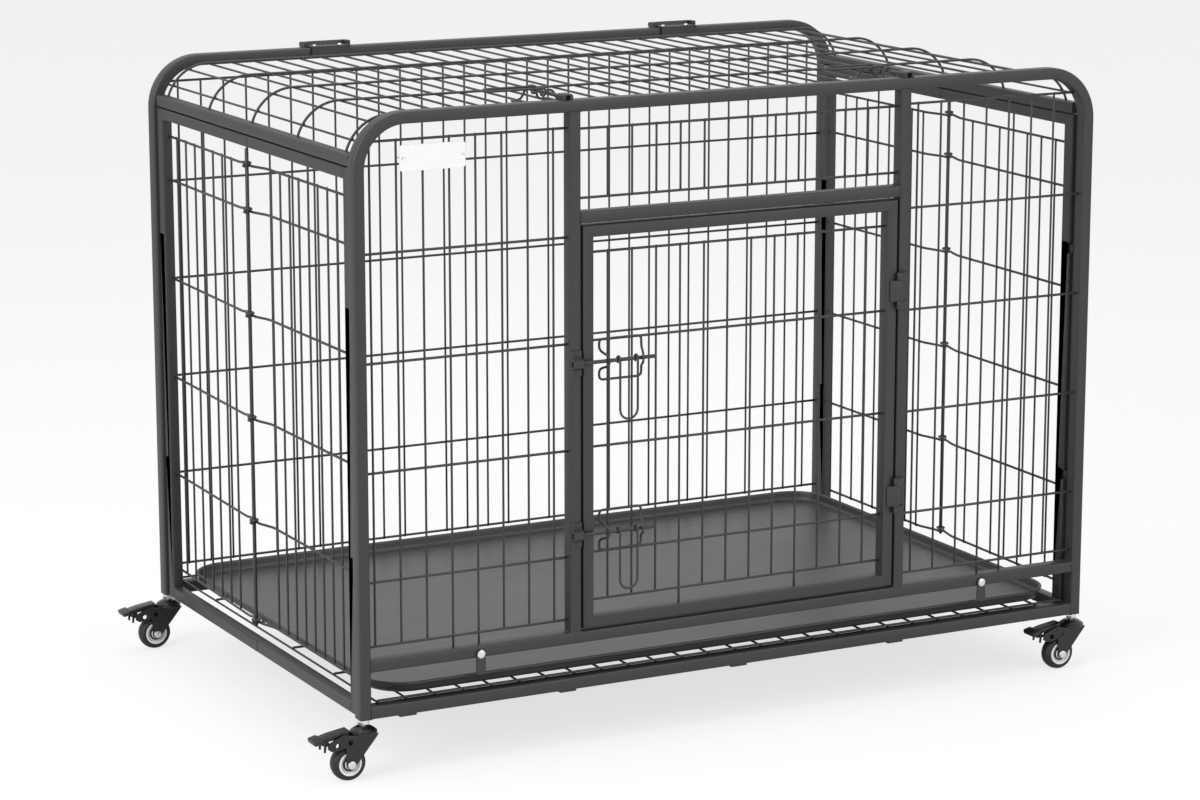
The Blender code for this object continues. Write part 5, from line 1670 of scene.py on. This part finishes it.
    def base(self) -> None:
        """The tray, the floor grid and the tray latches."""
        self.shown("tray", "pan", Tray().skins(), Finish.TRAY, "tray")
        self.shown("floor_grid", "wires", FloorGrid().skins(), Finish.WIRE, "front")
        for name, side in SIDES:
            node = f"tray_latch_{name}"
            self.shown(node, "tab", TrayLatch(side).tab(), Finish.COAT, node)

    def casters(self) -> None:
        """All four casters."""
        for row, facing in (("front", -1), ("back", 1)):
            for end, side in SIDES:
                caster = Caster(side * FRAME.leg_x, facing * FRAME.frame_y)
                base = f"{row}_{end}_caster"
                self.shown(f"{base}_fork", "steel", caster.fork(), Finish.FORK, base)
                self.shown(f"{base}_axle", "pin", caster.pin(), Finish.ZINC, base)
                self.shown(f"{base}_tyre", "round", caster.tyre(), Finish.RUBBER, f"{base}_wheel")
                self.shown(f"{base}_hub", "ring", caster.hub(), Finish.NYLON, f"{base}_wheel")
                self.shop.piece(f"{base}_dust_caps", caster.seal(), Finish.FORK, f"{base}_wheel")
                self.shown(f"{base}_pedal", "plate", caster.pedal(), Finish.FORK, f"{base}_pedal")


class Studio:
    """Floor, world, lamps and camera."""

    reach = 30.0  # the floor's half width
    paper_white = 0.72  # how much of what is seen of the floor is plain white
    surround = (0.62, 1.0)  # the world's strength for other rays, and where it is seen or mirrored
    sensor = 36.0

    def __init__(self, shop: Workshop) -> None:
        self.shop = shop

    def floor(self) -> None:
        """A wide pale floor."""
        mesh = bpy.data.meshes.new("floor")
        r = self.reach
        mesh.from_pydata([(-r, -r, 0), (r, -r, 0), (r, r, 0), (-r, r, 0)], [], [(0, 1, 2, 3)])
        mesh.materials.append(self.paper())
        obj = added("studio_floor", mesh)
        obj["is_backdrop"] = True

    def paper(self) -> bpy.types.Material:
        """White studio paper: it takes the shadow, and where it is seen it is mostly plain white."""
        graph = Graph(bpy.data.materials.new("studio_paper"))
        surface = graph.value("ShaderNodeBsdfDiffuse", {"Color": (0.9, 0.9, 0.9, 1)})
        white = graph.value("ShaderNodeEmission", {"Color": (1, 1, 1, 1)})
        share = graph.ray("Is Camera Ray") * self.paper_white
        mix = graph.value("ShaderNodeMixShader", {"Fac": share, 1: surface, 2: white})
        graph.node("ShaderNodeOutputMaterial", {"Surface": mix})
        return graph.owner

    def world(self) -> None:
        """An even white surround, at full strength only where it is seen or mirrored."""
        graph = Graph(bpy.data.worlds.new("studio"))
        bpy.context.scene.world = graph.owner
        seen = graph.ray("Is Camera Ray").larger(graph.ray("Is Glossy Ray"))
        strength = seen.larger(graph.ray("Is Transmission Ray")).spread(*self.surround)
        light = graph.value("ShaderNodeBackground", {"Color": (1, 1, 1, 1), "Strength": strength})
        graph.node("ShaderNodeOutputWorld", {"Surface": light})

    def lamp(self, name: str, place: tuple, target: tuple, size: float, power: float) -> None:
        """A square soft lamp that looks at a point."""
        data = bpy.data.lights.new(name, "AREA")
        data.shape = "SQUARE"
        data.size = size
        data.energy = power
        aimed(added(name, data), Vector(place), Vector(target) - Vector(place))

    def lamps(self) -> None:
        """A key from the left, a fill from the front and a wide one overhead."""
        self.lamp("key", (-3.4, -1.2, 2.3), (0, 0, 0.4), 2.2, 95)
        self.lamp("fill", (1.6, -3.6, 2.0), (0, 0, 0.4), 2.4, 40)
        self.lamp("top", (0.2, 0.3, 3.6), (0, 0, 0.3), 3.0, 42)

    def camera(self) -> None:
        """The photograph's viewpoint, from a fit of its corners."""
        yaw, pitch, focal, width = 0.48321, 0.21072, 3591.17, 1200.0  # both lengths in pixels
        data = bpy.data.cameras.new("camera")
        data.sensor_fit = "HORIZONTAL"
        data.sensor_width = self.sensor
        data.lens = focal / width * self.sensor
        data.clip_end = 100
        ahead = Vector((math.sin(yaw) * math.cos(pitch), math.cos(yaw) * math.cos(pitch), -math.sin(pitch)))
        obj = added("camera", data)
        aimed(obj, Vector((-2.2507, -4.2445, 1.3902)) + Vector(self.shop.shift), ahead)
        bpy.context.scene.camera = obj

    def build(self) -> None:
        """Makes all of it."""
        self.floor()
        self.world()
        self.lamps()
        self.camera()
        bpy.context.scene.view_settings.view_transform = "Standard"


def corners() -> list[list[float]]:
    """The shown object's lowest and highest corners as plain lists."""
    return [[float(value) for value in corner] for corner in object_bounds()]


def main() -> None:
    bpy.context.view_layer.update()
    shop = Workshop()
    Crate(shop).build()
    Studio(shop).build()


if __name__ == "__main__":
    main()
